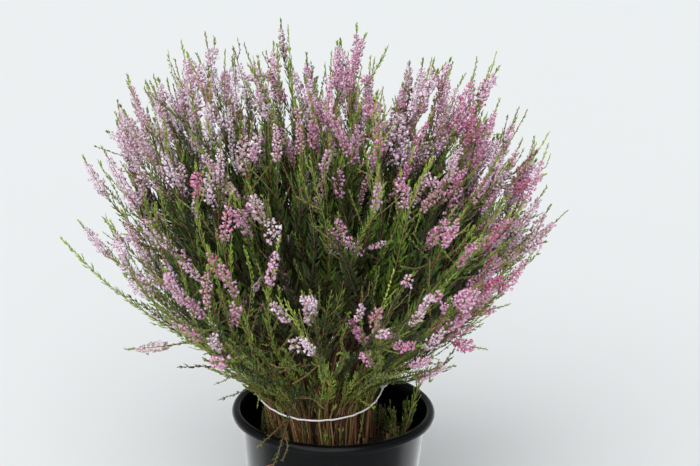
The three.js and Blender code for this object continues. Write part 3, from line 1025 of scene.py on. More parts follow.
baseSettings = {
    "seed": 19,
    "stems": 210,
    "inward": (0.5, 10),
    "stray": 3.0,
    "rise": (35, 90),  # how far the stems run on above the tie
    "fan": (0.3, 0.85),  # how far they lean out as they rise
    "endStray": 11,
    "lowShoots": 60,
    "lowRadius": (46, 76),
    "lowFoot": 72.0,  # their feet stay this near the pot's axis
    "lowRoom": 67.0,  # and the rest of them this near
    "lowLength": (16, 42),
    "lowAngle": (15, 80),
    "nearShare": 0.6,  # the share of them in the nearer half of the ring
    "halves": (-1.6, 0.6),  # where the nearer and the further half begin
}


def layBase(settings):
    count, level = settings["stems"], [1, 1, 0]
    outward = polarPoints(random.uniform(0, fullTurn, count), 1.0, 0.0)
    radius = sheaf["radiusAtTie"] + 1 - random.uniform(*settings["inward"], count)
    crossing = (outward * radius[:, None]) @ tilted.T + sheaf["tieCentre"]
    root = rootOf(crossing) + random.normal(0, settings["stray"], (count, 3)) * level
    bent = root * 0.45 + crossing * 0.55 + random.normal(0, settings["stray"], (count, 3)) * level
    rise = random.uniform(*settings["rise"], count)[:, None]
    fan = random.uniform(*settings["fan"], (count, 1))
    over = crossing + (outward * fan + worldUp * 0.8) * rise
    over += random.normal(0, settings["endStray"], (count, 3))
    points = np.stack([root, root + worldUp * 14, bent, crossing, over], 1)
    path = smoothPaths(points, leaderSettings["kept"])
    heading = unit(outward * 0.7 + worldUp)
    thin = looseSet(thinStem, nearestStem(heading), path, heading, random.normal(0, 1.3, count))
    count = settings["lowShoots"]
    turn = random.uniform(0, fullTurn, count) * 0.5
    turn += np.where(random.uniform(0, 1, count) < settings["nearShare"], *settings["halves"])
    outward = polarPoints(turn, 1.0, 0.0)
    base = outward * random.uniform(*settings["lowRadius"], (count, 1))
    base += [-6, 0, sheaf["soilTop"] - 3]
    base[:, :2] *= np.minimum(1, settings["lowFoot"] / np.linalg.norm(base[:, :2], axis=1))[:, None]
    length = random.uniform(*settings["lowLength"], count)
    angle = np.radians(random.uniform(*settings["lowAngle"], count))[:, None]
    t = np.linspace(0, 1, leaderSettings["kept"])[None]
    upright = np.tile(worldUp, (count, 1))
    aside = outwardAt(upright, random.uniform(0, fullTurn, count))
    curl = random.uniform(0, 1.2, (count, 1))
    path = ascending(base, upright, aside, length, angle, curl, 0.05, t)
    reach = np.linalg.norm(path[..., :2], axis=-1)
    path[..., :2] *= np.minimum(1, settings["lowRoom"] / reach)[..., None]
    heading = unit(outward * 0.7 + worldUp)
    low = looseSet(lowShoot, nearestStem(heading), path, heading, random.normal(0, 1, count))
    return [thin, low]


random = np.random.default_rng(twigSettings["seed"])
twigs = insideOnly(layTwigs(twigSettings))
random = np.random.default_rng(baseSettings["seed"])
thinStems, lowShoots = layBase(baseSettings)
shoots = clearOfTag(joinSets([leaders, twigs, insideOnly(thinStems), lowShoots]))
shootKind = shoots["kind"]
shootCount = len(shootKind)
total = shoots["along"][:, -1]
isTwig = shootKind == twig
zoneOfShoot = zoneOf[shoots["stem"]]
print("twigs:", int(isTwig.sum()))


# Which shoots flower, and how long their racemes and green tips are

bloomSettings = {
    "seed": 23,
    "share": {"left": 0.85, "crown": 0.90, "right": 0.80, "front": 0.28, "back": 0.75},
    "lowShare": 0.25,  # of the share above, on shoots that hang low
    "lowPolar": math.radians(43),
    "twigShare": 0.50,
    "clumping": 0.70,
    "lowestTip": 232.0,  # below this only the solids' flower heads bloom
    "raceme": (26, 56),
    "frontRaceme": (20, 38),
    "twigRaceme": (0.45, 0.75),  # of the twig's length
    "longest": 0.6,  # of the shoot's free part
    "greenTip": (5, 20),
}


def clumps(heading, phase):
    # Slow waves over the directions, from about -1 to 1: where shoots of one kind stand together.
    x, y, z = heading.T
    return (np.sin(13 * x + 4 * y + phase) + np.sin(9 * y - 7 * z + 2 * phase)
            + np.sin(8 * x - 11 * y + 5 * z + 1)) / 2.2


random = np.random.default_rng(bloomSettings["seed"])
share = np.array([bloomSettings["share"][name] for name in zoneNames])[zoneOfShoot]
polar = np.arccos(np.clip(shoots["to"][:, 2], -1, 1))
share = np.where(polar > bloomSettings["lowPolar"], share * bloomSettings["lowShare"], share)
share = np.where((shootKind == hanging) | (shootKind > twig), 0.0, share)
share = np.where(isTwig, share * bloomSettings["twigShare"], share)
share *= (1 + bloomSettings["clumping"] * clumps(shoots["to"], 0.0))
share = np.where(shoots["path"][:, -1, 2] < bloomSettings["lowestTip"], 0.0, share)
flowering = random.uniform(0, 1, shootCount) < share
flowering |= (shootKind == mainStem) | (shootKind == lateral)
facing = zoneOfShoot == zoneNames.index("front")
racemeLength = np.where(facing, random.uniform(*bloomSettings["frontRaceme"], shootCount),
                        random.uniform(*bloomSettings["raceme"], shootCount))
twigRaceme = total * random.uniform(*bloomSettings["twigRaceme"], shootCount)
racemeLength = np.where(isTwig, twigRaceme, racemeLength)
free = np.where(isTwig, 2 * total, shoots["reach"] - shoots["start"])
racemeLength = np.minimum(racemeLength, bloomSettings["longest"] * free) * flowering
greenTip = random.uniform(*bloomSettings["greenTip"], shootCount) * np.where(isTwig, 0.45, 1.0)
rightness = shoots["to"][:, 0]
patches = clumps(shoots["to"], 2.4)
print("flowering:", int(flowering.sum()), "of", shootCount)


# Woody stems

woodSettings = {
    "seed": 29,
    "leader": {"corners": 4, "rings": 12, "root": 1.0, "main": 1.5, "side": 0.7, "tip": 0.34},
    "base": {"corners": 4, "rings": 6, "root": 0.9, "main": 0.9, "side": 0.9, "tip": 0.45},
    "twig": {"corners": 3, "rings": 3, "root": 0.5, "main": 0.5, "side": 0.5, "tip": 0.28},
    "spread": (0.6, 1.25),
    "lowThick": 0.5,  # the low shoots' share of the thickness
    "greenFor": 150,  # the bark turns green over this length before the tip
}


def stemParts(chosen, form):
    # Tubes along the shoots: the radius falls from foot to tip as a power of what is left.
    rings, corners, count = form["rings"], form["corners"], len(chosen)
    kind, toneOf = shootKind[chosen], shoots["tone"][chosen][:, None]
    share = np.linspace(0, 1, rings)
    row = np.repeat(chosen, rings)
    along = (total[chosen][:, None] * share).ravel()
    path = samplePaths(shoots["path"], shoots["along"], row, along)[0].reshape(-1, rings, 3)
    thick = np.where(kind == mainStem, form["main"], form["root"])
    thick = np.where(shoots["rooted"][chosen], thick, form["side"])
    thick = thick * random.uniform(*woodSettings["spread"], count)
    thick = thick * np.where(kind == lowShoot, woodSettings["lowThick"], 1.0)
    radius = form["tip"] + (thick[:, None] - form["tip"]) * (1 - share) ** 1.4
    radii = np.repeat(radius[..., None], corners, 2)
    normal = np.tile(np.array([1.0, 0.15, 0.1]), (count, 1))
    poles = (np.full(count, 0.3), np.full(count, 1.0))
    vertices, faces = ringShapes(path, normal, radii, np.zeros_like(radii), poles, False)
    # Brown at the foot, green at the tip, and painted shade that makes them darker deep inside the
    # bush.
    fromTip = np.clip(total[chosen][:, None] * (1 - share) / woodSettings["greenFor"], 0, 1)
    tone = 0.30 + 0.55 * (1 - fromTip) ** 2 + 0.20 * toneOf
    tone = np.where((kind == thinStem)[:, None], 0.38 + 0.22 * toneOf, tone)
    tone = np.where((kind == lowShoot)[:, None], 0.16, tone)
    stemLength = stemReach[shoots["stem"][chosen]][:, None]
    out = np.linalg.norm(path - sheaf["focus"], axis=-1) / stemLength
    # Painted shade: deep inside the bush, above deepAbove, the stems are darker.
    tone -= 0.22 * np.clip((0.74 - out) / 0.2, 0, 1) * (path[..., 2] > sheaf["deepAbove"])
    return [(vertices, faces, {"tone": perVertex(tone, corners)})]


# Leafy short shoots, in crossed pairs along every shoot

leafSettings = {
    "seed": 37,
    "pitch": 3.1,
    "jitter": 1.4,
    "missing": 0.16,  # the share of them that has dropped
    "highest": 64,  # pairs on one shoot
    "bare": (74, 96),  # how far from the focus they begin, on leaning and on upright stems
    "lengths": ([0, 20, 70, 150, 260], [2.8, 4.8, 6.8, 8.6, 8.0]),  # by the distance from the tip
    "full": {"rings": 3, "core": 0.36, "spread": 0.80, "lean": 1.2},
    "fine": {"rings": 1, "core": 0.66},
    "curl": 0.55,
    "lift": 0.14,
    "fullShare": 0.24,  # of the shoots near the surface
    "sparseStems": 0.4,  # the share of the thin stems with a few leaves all the way down
    "tipLeaves": 9,  # on a green tip past the flowers
}


def leafShapes(base, tangent, outward, length, form, tone, angle, age, girth=1.0):
    # A short shoot leaves at an angle and curls towards the leader and the light. On its rings of
    # four corners an opposite pair is drawn out at a time, as its crossed scale leaves are.
    # A fine one is a spindle with one ring of three corners.
    count, rings = len(base), form["rings"]
    curl, lift = leafSettings["curl"], leafSettings["lift"]
    girth = np.broadcast_to(girth, count)[:, None, None]
    girth = girth * random.uniform(0.82, 1.18, (count, 1, 1))
    normal = unit(np.cross(tangent, outward) + outward * 0.35)
    if rings == 1:
        t = np.array([[0.0, 0.42, 1.0]])
        path = ascending(base, tangent, outward, length, angle[:, None], curl, lift, t)
        foot, middle, head = np.moveaxis(path, 1, 0)
        other = np.cross(unit(head - foot), normal)
        turn = (np.arange(3) * fullTurn / 3)[:, None]
        corners = normal[:, None] * np.cos(turn) + other[:, None] * np.sin(turn)
        ring = middle[:, None] + corners * girth * form["core"]
        vertices = np.concatenate([foot[:, None], ring, head[:, None]], 1)
        faces = ringFaces(1, 3, False)[None] + np.arange(count)[:, None, None] * 5
        tip = np.tile([0.0, 0.5, 0.5, 0.5, 1.0], (count, 1))
    else:
        t = np.linspace(0.14, 0.88, rings)[None]
        path = ascending(base, tangent, outward, length, angle[:, None], curl, lift, t)
        ring, corner = np.arange(rings)[:, None], np.arange(4)[None]
        drawn = (ring + corner) % 2 == 0
        size = np.sin(math.pi * (0.32 + 0.46 * t))[..., None] * girth
        radii = np.where(drawn, form["spread"] * size, form["core"] * size)
        lean = np.where(drawn, form["lean"], 0.0) * np.ones_like(radii)
        poles = (length * 0.14, 0.10 * length + 0.8)
        vertices, faces = ringShapes(path, normal, radii, lean, poles, True)
        tip = perVertex(np.repeat(t, count, 0), 4)
    each = vertices.shape[1]
    return vertices, faces, {
        "tone": perShape(tone, count, each), "tip": tip, "age": perShape(age, count, each),
    }


def layLeaves(settings):
    # Pairs from below the raceme, or from the tip, down to where the shoot is bare. The outermost
    # stems of the sheaf carry a few stunted ones all the way down.
    outermost = shoots["rooted"] & (polar > math.radians(37))
    thin = shootKind == thinStem
    sparse = thin & (draw(np.arange(shootCount), 9) < settings["sparseStems"])
    bare = np.where(polar > math.radians(25), *settings["bare"])
    leafFrom = np.where(shoots["rooted"], total - shoots["reach"] + bare, 6.0)
    leafFrom = np.where(outermost, 22.0, leafFrom)
    leafFrom = np.where(thin, np.where(sparse, 14.0, 62.0), leafFrom)
    leafTo = total - np.where(flowering, racemeLength + greenTip * 0.6, 2.0)
    room = np.maximum(leafTo - leafFrom, 0)
    pitch = settings["pitch"] * np.where(isTwig, 0.85, np.where(sparse, 2.2, 1.0))
    pairs = np.minimum(np.floor(room / pitch).astype(int), settings["highest"])
    owner = np.repeat(np.arange(shootCount), pairs)
    number = np.arange(len(owner)) - np.repeat(np.cumsum(pairs) - pairs, pairs)
    along = leafTo[owner] - (number + 0.5) * pitch[owner]
    turn = draw(owner, 7) * fullTurn + number * math.pi / 2 + random.normal(0, 0.25, len(owner))
    length = np.interp(total[owner] - along, *settings["lengths"])
    length *= np.where(isTwig[owner], 0.78, np.where(shootKind[owner] == lowShoot, 2.0, 1.0))
    length *= np.clip((along - leafFrom[owner]) / 40, 0.45, 1)
    owner, along, turn, length = (np.tile(x, 2) for x in (owner, along, turn, length))
    half = len(turn) // 2
    turn[half:] += math.pi
    along += random.uniform(-1, 1, len(along)) * settings["jitter"]
    length *= random.uniform(0.62, 1.28, len(length))
    kept = random.uniform(0, 1, len(owner)) > settings["missing"]
    leaves = {"owner": owner, "along": along, "turn": turn, "length": length}
    return pick(leaves, kept)


random = np.random.default_rng(leafSettings["seed"])
leaves = layLeaves(leafSettings)
leaves["base"], leaves["tangent"] = samplePaths(shoots["path"], shoots["along"],
                                                leaves["owner"], leaves["along"])
fromAxis, height = np.linalg.norm(leaves["base"][:, :2], axis=1), leaves["base"][:, 2]
inWall = (fromAxis > 71) & (fromAxis < 98) & (height < 152)  # on or in the pot's wall
leaves = pick(leaves, ~beforeTag(leaves["base"], 9) & ~inWall)
leafOff = leaves["base"] - sheaf["focus"]
leafDepth = np.linalg.norm(leafOff, axis=1) / stemReach[shoots["stem"][leaves["owner"]]]
leafPolar = np.degrees(np.arccos(unit(leafOff)[:, 2]))
leaves["outer"] = np.maximum(leafDepth, 0.86 * np.clip((leafPolar - 28) / 16, 0, 1))
leaves["full"] = leaves["outer"] > 0.85
leaves["full"] &= random.uniform(0, 1, len(leafDepth)) < leafSettings["fullShare"]
leaves["zone"] = zoneOfShoot[leaves["owner"]]
print("short shoots:", len(leafDepth), "of which detailed:", int(leaves["full"].sum()))


def foliageParts(zone, settings):
    # Steeper towards the surface, and brighter there: painted shade darkens the leaves deeper in the
    # bush and in its back half. Deep in the bush the leaves are long and coarse, and on the thin
    # stems low down many are dry.
    parts = []
    for form, full in ((settings["full"], True), (settings["fine"], False)):
        some = pick(leaves, (leaves["zone"] == zone) & (leaves["full"] == full))
        owner, base, count = some["owner"], some["base"], len(some["owner"])
        kind, toneOf = shootKind[owner], shoots["tone"][owner]
        outward = outwardAt(some["tangent"], some["turn"])
        depth = np.clip(some["outer"], 0, 1.1)
        # Painted shade: the leaves' tone falls steeply with depth into the bush.
        tone = 0.66 * depth ** 2.6 + 0.12 * toneOf + random.normal(0, 0.09, count)
        steep = random.uniform(30, 46, count) + 14 * (1 - depth)
        deep = np.clip((0.80 - depth) / 0.25, 0, 1) * (base[:, 2] > sheaf["deepAbove"])
        length = some["length"] * (1 + 1.1 * deep)
        # Painted shade: leaves below the surface in the back half of the bush are darker.
        tone -= 0.16 * (base[:, 1] > 30) * (depth < 0.93)
        tone = np.where(kind == lowShoot, 0.36 + 0.1 * toneOf, tone)
        age = np.clip((0.66 - depth) * 1.6, 0, 0.65) * (kind != lowShoot)
        age = age + (kind == thinStem) * 0.45 * (base[:, 2] < 175)
        age = age * random.uniform(0.3, 1.5, count)
        angle = np.radians(steep + 12 * deep)
        parts.append(leafShapes(base, some["tangent"], outward, length, form, tone, angle, age,
                                1 + 1.6 * deep))
    return parts


def tipParts(zone, settings):
    # Green growth past the flowers: small leaves round the shoot's end.
    chosen = np.flatnonzero((zoneOfShoot == zone) & flowering)
    count = settings["tipLeaves"]
    owner = np.repeat(chosen, count)
    number = np.tile(np.arange(count), len(chosen))
    along = total[owner] - greenTip[owner] * (0.02 + 0.98 * number / (count - 1))
    base, tangent = samplePaths(shoots["path"], shoots["along"], owner, along)
    outward = outwardAt(tangent, draw(owner, 8) * fullTurn + number * math.pi * 0.75)
    length = random.uniform(2.2, 3.8, len(owner)) * (0.8 + 0.4 * number / count)
    tone = 0.58 + 0.10 * shoots["tone"][owner] + random.normal(0, 0.10, len(owner))
    angle = np.radians(random.uniform(18, 50, len(owner)))
    return [leafShapes(base, tangent, outward, length, settings["fine"], tone, angle, 0.0, 0.85)]


# Florets along the flowering shoots

floretSettings = {
    "seed": 41,
    "pitch": 0.50,
    "width": (1.4, 2.1),
    "depth": (2.4, 3.4),
    "stand": (0.4, 3.4),  # how far they stand off the shoot
    "fullness": (0.65, 1.12),
    "bulk": 0.26,  # how much the racemes differ in fullness
    "lumps": (3.5, 6.0),  # their length along a raceme
    "faded": 0.16,  # the share of racemes past their best
    "notched": 0.55,  # the share of the florets in front with all eight corners
}


def floretTemplate(notched):
    # A bell between two poles, the outer one at the stalk and the inner one sunk into the throat.
    # Its rim has four lobes, with a notch between each two where it is seen from near.
    step = 1 if notched else 2
    lobe = np.arange(0, 8, step) % 2 == 0
    angle = np.arange(0, 8, step) * fullTurn / 8
    radius, height = np.where(lobe, 1.0, 0.55), np.where(lobe, 1.0, 0.58)
    rim = np.stack([np.cos(angle) * radius, np.sin(angle) * radius, height], -1)
    vertices = np.concatenate([[[0, 0, 0]], rim, [[0, 0, 0.36]]])
    tip = np.concatenate([[0.45], np.where(lobe, 1.0, 0.6), [0.0]])
    return vertices, ringFaces(1, len(lobe), False), tip


def placeFlorets(base, axis, spin, width, depth, tone, age, notched):
    # Copies of the floret: its own Z along axis, turned by spin, stretched by width and depth.
    template, faces, tip = floretTemplate(notched)
    count, each = len(base), len(template)
    side = outwardAt(axis, spin)
    other = np.cross(axis, side)
    points = (
        side[:, None] * template[None, :, :1] + other[:, None] * template[None, :, 1:2]
    ) * width[:, None, None] + axis[:, None] * template[None, :, 2:] * depth[:, None, None]
    return base[:, None] + points, faces[None] + np.arange(count)[:, None, None] * each, {
        "tone": perShape(tone, count, each), "tip": np.repeat(tip[None], count, 0),
        "age": perShape(age, count, each),
    }


def flowerParts(zone, settings):
    # share runs from 0 at a raceme's tip to 1 at its foot. The florets stand thick in its middle,
    # in lumps, and the lower ones are larger.
    chosen = np.flatnonzero((zoneOfShoot == zone) & flowering)
    fullness = random.uniform(*settings["fullness"], len(chosen))
    counts = np.floor(racemeLength[chosen] / settings["pitch"] * fullness).astype(int)
    owner = np.repeat(chosen, counts)
    count = len(owner)
    number = np.arange(count) - np.repeat(np.cumsum(counts) - counts, counts)
    share = (number + random.uniform(0, 1, count)) / np.repeat(counts, counts)
    along = total[owner] - greenTip[owner] - share * racemeLength[owner]
    base, tangent = samplePaths(shoots["path"], shoots["along"], owner, along)
    bearing = number * goldenAngle + random.normal(0, 0.4, count)
    outward = outwardAt(tangent, bearing)
    wavelength = random.uniform(*settings["lumps"], shootCount)[owner]
    lumps = 0.75 + 0.35 * np.sin(along / wavelength + 2 * bearing)
    full = np.clip(0.30 + 2.0 * share, 0, 1) * np.clip(3.0 * (1.14 - share), 0.35, 1)
    bulk = np.exp(random.normal(0, settings["bulk"], shootCount))[owner]
    stand = random.uniform(*settings["stand"], count) * full * lumps * bulk
    base = base + outward * stand[:, None]
    droop = random.uniform(0.0, 0.7, count)[:, None]
    rise = random.uniform(-0.3, 0.7, count)[:, None]
    axis = unit(outward + tangent * rise - worldUp * droop)
    size = (0.60 + 0.40 * full) * random.uniform(0.82, 1.12, count) * bulk ** 0.3
    width = random.uniform(*settings["width"], count) * size
    depth = random.uniform(*settings["depth"], count) * size
    hue = 0.20 + 0.12 * shoots["tone"][owner] + 0.22 * rightness[owner] + 0.17 * patches[owner]
    tone = hue + random.normal(0, 0.11, count) + 0.08 * share
    age = np.where(random.uniform(0, 1, shootCount) < settings["faded"], 0.7, 0.04)[owner]
    age = age * random.uniform(0, 1.2, count) * (0.5 + share)
    spin = random.uniform(0, fullTurn, count)
    seen = (base[:, 1] < 40) & (share < 0.75)
    seen &= random.uniform(0, 1, count) < settings["notched"]
    values = base, axis, spin, width, depth, tone, age
    return [placeFlorets(*(value[mask] for value in values), notched)
            for mask, notched in ((seen, True), (~seen, False))]


def nodeNames(kind, members):
    return [f"{kind}_{index + 1:02d}" for index in members]


random = np.random.default_rng(woodSettings["seed"])
wood = []
for chosen, form in ((shootKind < twig, "leader"), (shootKind > twig, "base"), (isTwig, "twig")):
    wood += stemParts(np.flatnonzero(chosen), woodSettings[form])
addPiece("woody_stems", wood, "wood", nodeNames("leafy_stem", range(len(stemTable))))
for number, name in enumerate(zoneNames):
    random = np.random.default_rng(leafSettings["seed"] + 10 + number)
    foliage = foliageParts(number, leafSettings) + tipParts(number, leafSettings)
    addPiece(f"foliage_{name}", foliage, "foliage", nodeNames("leafy_stem", zones[name]),
             smooth=False)
    random = np.random.default_rng(floretSettings["seed"] + 10 + number)
    addPiece(f"flowers_{name}", flowerParts(number, floretSettings), "flower",
             nodeNames("flower_head", zones[name]))


# Dry short shoots and fallen florets on the compost, inside the pot's wall

litterSettings = {
    "seed": 53,
    "count": 420,
    "fromAxis": (48, 71),
    "height": (113.6, 115.2),
    "length": (4, 9.5),
    "form": {"rings": 1, "core": 0.5},
}


def litterParts(settings):
    count = settings["count"]
    turn, out = random.uniform(0, fullTurn, count), random.uniform(*settings["fromAxis"], count)
    base = polarPoints(turn, out, random.uniform(*settings["height"], count))
    along = unit(random.normal(0, 1, (count, 3)) * [1, 1, 0.22])
    length, tone = random.uniform(*settings["length"], count), random.uniform(0.05, 0.75, count)
    vertices, faces, values = leafShapes(base, along, outwardAt(along, turn * 5), length,
                                         settings["form"], tone, np.full(count, 0.1), 0.0)
    return [(vertices, faces, {"tone": values["tone"]})]


fallenSettings = {
    "count": 46,
    "fromAxis": (56, 76),
    "height": 114.2,
    "width": (1.3, 2.0),
    "depth": (2.2, 3.2),
}


def fallenParts(settings):
    count = settings["count"]
    turn, out = random.uniform(0, fullTurn, count), random.uniform(*settings["fromAxis"], count)
    base = polarPoints(turn, out, settings["height"])
    axis = unit(random.normal(0, 1, (count, 3)))
    width, depth = (random.uniform(*settings[key], count) for key in ("width", "depth"))
    tone = 0.30 + random.normal(0, 0.12, count)
    age = random.uniform(0, 0.8, count)
    return [placeFlorets(base, axis, turn * 3, width, depth, tone, age, True)]


random = np.random.default_rng(litterSettings["seed"])
addPiece("litter", litterParts(litterSettings), "wood")
addPiece("fallen_florets", fallenParts(fallenSettings), "flower")


# Low sprig inside the pot

sprigSettings = {
    "path": [(64, -8, 100.35), (66, -8, 122), (72, -7, 145), (79, -4, 173), (81.5, -3, 186)],
    "stations": 24,
    "rings": 12,
    "corners": 5,
    "thick": 1.0,
    "taper": 0.6,
    "leaves": (28, 74, 4.2),  # from, to and apart along the sprig, two at a time
    "leafLength": (8, 14),
    "leafRings": 4,
    "florets": 14,
    "floretPitch": 0.9,
    "width": (1.3, 1.9),
    "depth": (2.2, 3.0),
}
sprigPath = smoothPaths(np.array([sprigSettings["path"]], float), sprigSettings["stations"])
sprigLengths = pathLengths(sprigPath)


def sprigAt(along):
    return samplePaths(sprigPath, sprigLengths, np.zeros(len(along), int), along)


def sprigWood(settings):
    rings, corners = settings["rings"], settings["corners"]
    share = np.linspace(0, 1, rings)
    path = sprigAt(sprigLengths[0, -1] * share)[0][None]
    radius = settings["thick"] - settings["taper"] * share
    radii = np.repeat(radius[None, :, None], corners, 2)
    shape = ringShapes(path, np.array([[1.0, 0.2, 0.0]]), radii, np.zeros_like(radii),
                       (np.array([0.3]), np.array([0.5])), False)
    return [(*shape, {"tone": perVertex((0.4 + 0.4 * share)[None], corners)})]


def sprigLeaves(settings):
    along = np.repeat(np.arange(*settings["leaves"]), 2)
    count, number = len(along), np.arange(len(along))
    base, tangent = sprigAt(along)
    outward = outwardAt(tangent, (number // 2) * math.pi / 2 + (number % 2) * math.pi + 0.4)
    length = random.uniform(*settings["leafLength"], count) * np.linspace(1.15, 0.6, count)
    tone = 0.5 + random.normal(0, 0.06, count)
    angle = np.radians(random.uniform(30, 48, count))
    form = dict(leafSettings["full"], rings=settings["leafRings"])
    return [leafShapes(base, tangent, outward, length, form, tone, angle, 0.0)]


def sprigFlorets(settings):
    count, number = settings["florets"], np.arange(settings["florets"])
    base, tangent = sprigAt(sprigLengths[0, -1] - 1 - number * settings["floretPitch"])
    outward = outwardAt(tangent, number * goldenAngle)
    axis = unit(outward + tangent * 0.4)
    width, depth = (random.uniform(*settings[key], count) for key in ("width", "depth"))
    tone = 0.42 + random.normal(0, 0.08, count)
    base = base + outward * 1.2
    return [placeFlorets(base, axis, number * 1.0, width, depth, tone, 0.0, True)]


addPiece("sprig_stem", sprigWood(sprigSettings), "wood")
addPiece("sprig_foliage", sprigLeaves(sprigSettings), "foliage", ["sprig_leaves"])
addPiece("sprig_bloom", sprigFlorets(sprigSettings), "flower", ["sprig_flowers"])


# Pot, compost, tie and tag

potSettings = {
    "segments": 120,
    "outline": [  # radius and height, from the foot's centre out, over the rim and down inside
        (0.0, 0.0), (40.0, 0.0), (69.6, 0.0), (71.6, 0.35), (72.5, 1.2), (72.8, 2.6), (74.5, 20.0),
        (78.3, 60.0), (82.2, 100.0), (85.6, 136.0), (86.0, 140.0), (86.4, 142.4), (87.3, 144.8),
        (88.8, 146.9), (90.4, 148.0), (91.6, 147.8), (92.7, 146.6), (93.3, 144.8), (93.6, 143.4),
        (93.9, 142.9), (94.4, 142.8), (94.9, 143.2), (95.0, 144.4), (94.9, 145.8), (94.4, 147.4),
        (93.4, 148.8), (92.2, 149.7), (90.6, 150.0), (89.0, 149.7), (87.9, 149.0), (87.2, 148.0),
        (86.8, 146.6), (85.7, 143.6), (84.9, 141.0), (84.3, 136.0), (80.7, 100.0), (76.8, 60.0),
        (73.0, 20.0), (71.4, 4.2), (70.4, 3.2), (68.0, 3.0), (0.0, 3.0),
    ],
}


def lathe(outline, segments):
    # The outline turned about the upright axis. Its ends are the two poles.
    radius, height = np.array(outline, float).T
    angle = np.arange(segments) * fullTurn / segments
    points = polarPoints(angle, radius[1:-1, None], height[1:-1, None]).reshape(-1, 3)
    vertices = np.concatenate([[[0, 0, height[0]]], points, [[0, 0, height[-1]]]])
    return vertices, ringFaces(len(radius) - 2, segments, False)


potShape = lathe(potSettings["outline"], potSettings["segments"])
addPiece("nursery_pot", [(*potShape, {})], "pot", ["pot"])

compostSettings = {
    "seed": 61,
    "rings": 36,
    "segments": 110,
    "edge": 81.6,
    "foot": (70.0, 3.4),  # radius and height
    "top": 113.0,
    "waves": (44, 21, 9.5, 5.2),  # their lengths, three waves of each
    "rough": 1.05,
    "fall": 2.2,
    "tone": 0.42,
}
random = np.random.default_rng(compostSettings["seed"])


def compostParts(settings):
    # A closed body whose top is a flat disc plus waves of several lengths and a rim that falls.
    rings, segments = settings["rings"], settings["segments"]
    share = np.linspace(1, 0.02, rings)[:, None]
    angle = np.arange(segments) * fullTurn / segments
    x, y = settings["edge"] * share * np.cos(angle), settings["edge"] * share * np.sin(angle)
    height = np.zeros_like(x)
    for wavelength in np.repeat(settings["waves"], 3):
        heading, phase = random.uniform(0, fullTurn, 2)
        along = x * np.cos(heading) + y * np.sin(heading)
        height += np.sin(fullTurn * along / wavelength + phase) * wavelength / 60
    height = height * settings["rough"] - settings["fall"] * share ** 14
    top = np.stack([x, y, settings["top"] + height], -1)
    foot = polarPoints(angle, *settings["foot"])
    points = np.concatenate([foot[None], top]).reshape(-1, 3)
    poles = [[[0, 0, settings["foot"][1]]], [[0, 0, settings["top"] + height[-1].mean()]]]
    vertices = np.concatenate([poles[0], points, poles[1]])
    faces = ringFaces(rings + 1, segments, False)
    return [(vertices, faces, {"tone": np.full(len(vertices), settings["tone"])})]


addPiece("compost_bed", compostParts(compostSettings), "compost", ["compost"])

tieSettings = {
    "radius": 59.6,
    "tall": 0.85,
    "thick": 0.75,
    "rings": 200,
    "corners": 8,
    "threads": (260, 6.0),  # of the braid, round the sheaf and round the cord
    "dents": ((0.22, 23, 0), (0.15, 37, 1)),  # depth, how many, phase
    "wave": (0.35, 5, 2),  # the same, up and down
}


def tieBand(settings):
    # A flattened cord along the tie's circle, closed on itself, dented a little between stems.
    rings, corners, threads = settings["rings"], settings["corners"], settings["threads"]
    u = (np.arange(rings) * fullTurn / rings)[:, None]
    v = np.arange(corners) * fullTurn / corners
    press = sum(deep * np.sin(times * u + phase) for deep, times, phase in settings["dents"])
    radius = settings["radius"] + press + settings["thick"] * np.cos(v)
    deep, times, phase = settings["wave"]
    height = settings["tall"] * np.sin(v) + deep * np.sin(times * u + phase)
    vertices = polarPoints(u, radius, height).reshape(-1, 3) @ tilted.T + sheaf["tieCentre"]
    ring, corner = np.meshgrid(np.arange(rings), np.arange(corners), indexing="ij")
    uv, quad = [], []
    for ringOn, cornerOn in ((0, 0), (1, 0), (1, 1), (0, 1)):
        quad.append((ring + ringOn) % rings * corners + (corner + cornerOn) % corners)
        uv.append(np.stack([(ring + ringOn) * threads[0] / rings,
                            (corner + cornerOn) * threads[1] / corners], -1))
    order = (0, 1, 2, 0, 2, 3)
    faces = np.stack([quad[i] for i in order], -1).reshape(-1, 3)
    return vertices, faces, np.stack([uv[i] for i in order], 2).reshape(-1, 2)


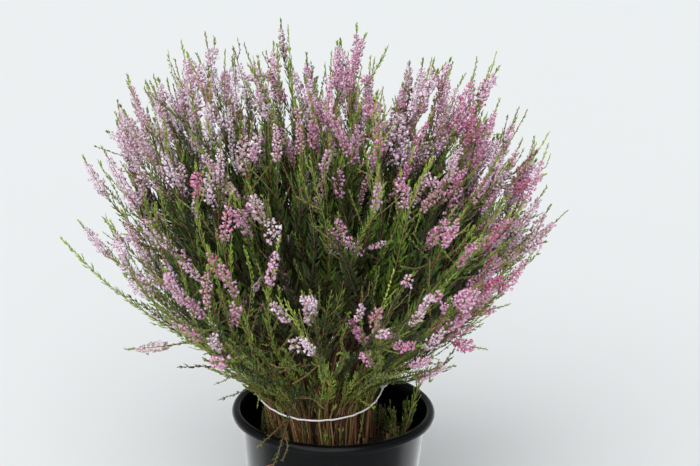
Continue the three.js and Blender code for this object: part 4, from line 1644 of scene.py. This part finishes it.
bandVertices, bandFaces, bandUv = tieBand(tieSettings)
band = addPiece("tie_elastic", [(bandVertices, bandFaces, {})], "elastic", ["tie_band"])
band.data.uv_layers.new(name="braid").data.foreach_set("uv", bandUv.astype(np.float32).ravel())

tagSettings = {
    "bearing": -4,
    "lean": 38,
    "width": 6.0,
    "height": 9.0,
    "sheet": 1.3,
    "bead": 2.4,  # how much thicker than the sheet, as a share of it
    "curl": 0.9,
    "rings": 14,
    "corners": 24,
}


def tagParts(settings):
    # A rounded bead round the cord with a thin curled flag above it, one closed shape.
    rings, corners = settings["rings"], settings["corners"]
    t = np.linspace(0, 1, rings)[:, None]
    v = np.arange(corners) * fullTurn / corners
    across, through = np.cos(v), np.sin(v)
    width = settings["width"] / 2 * (1 - 0.18 * np.clip(t - 0.85, 0, 1) / 0.15)
    sheet = settings["sheet"] / 2 * (1 + settings["bead"] * np.exp(-((t * 9) ** 2)))
    x = np.sign(through) * np.abs(through) ** 0.6 * sheet + settings["curl"] * np.sin(t * 2.2)
    y = np.sign(across) * np.abs(across) ** 0.35 * width
    z = np.repeat(t * settings["height"] - 0.6, corners, 1)
    points = np.stack([x, y, z], -1).reshape(-1, 3)
    poles = points[:corners].mean(0)[None], points[-corners:].mean(0)[None]
    body = np.concatenate([poles[0], points, poles[1]])
    placed = body @ rotation(1, math.radians(settings["lean"])).T + [tieSettings["radius"], 0, 0]
    placed = placed @ rotation(2, math.radians(settings["bearing"])).T
    return [(placed @ tilted.T + sheaf["tieCentre"], ringFaces(rings, corners, False), {})]


addPiece("tie_tag", tagParts(tagSettings), "tag", ["tie_clip"])


# Floor

floorReach = 30  # metres
floorMesh = bpy.data.meshes.new("floor")
floorCorners = [(x * floorReach, y * floorReach, 0) for x, y in ((-1, -1), (1, -1), (1, 1), (-1, 1))]
floorMesh.from_pydata(floorCorners, [], [(0, 1, 2, 3)])
floorMesh.materials.append(looks["floor"])
floor = bpy.data.objects.new("floor", floorMesh)
bpy.context.collection.objects.link(floor)

print("done")
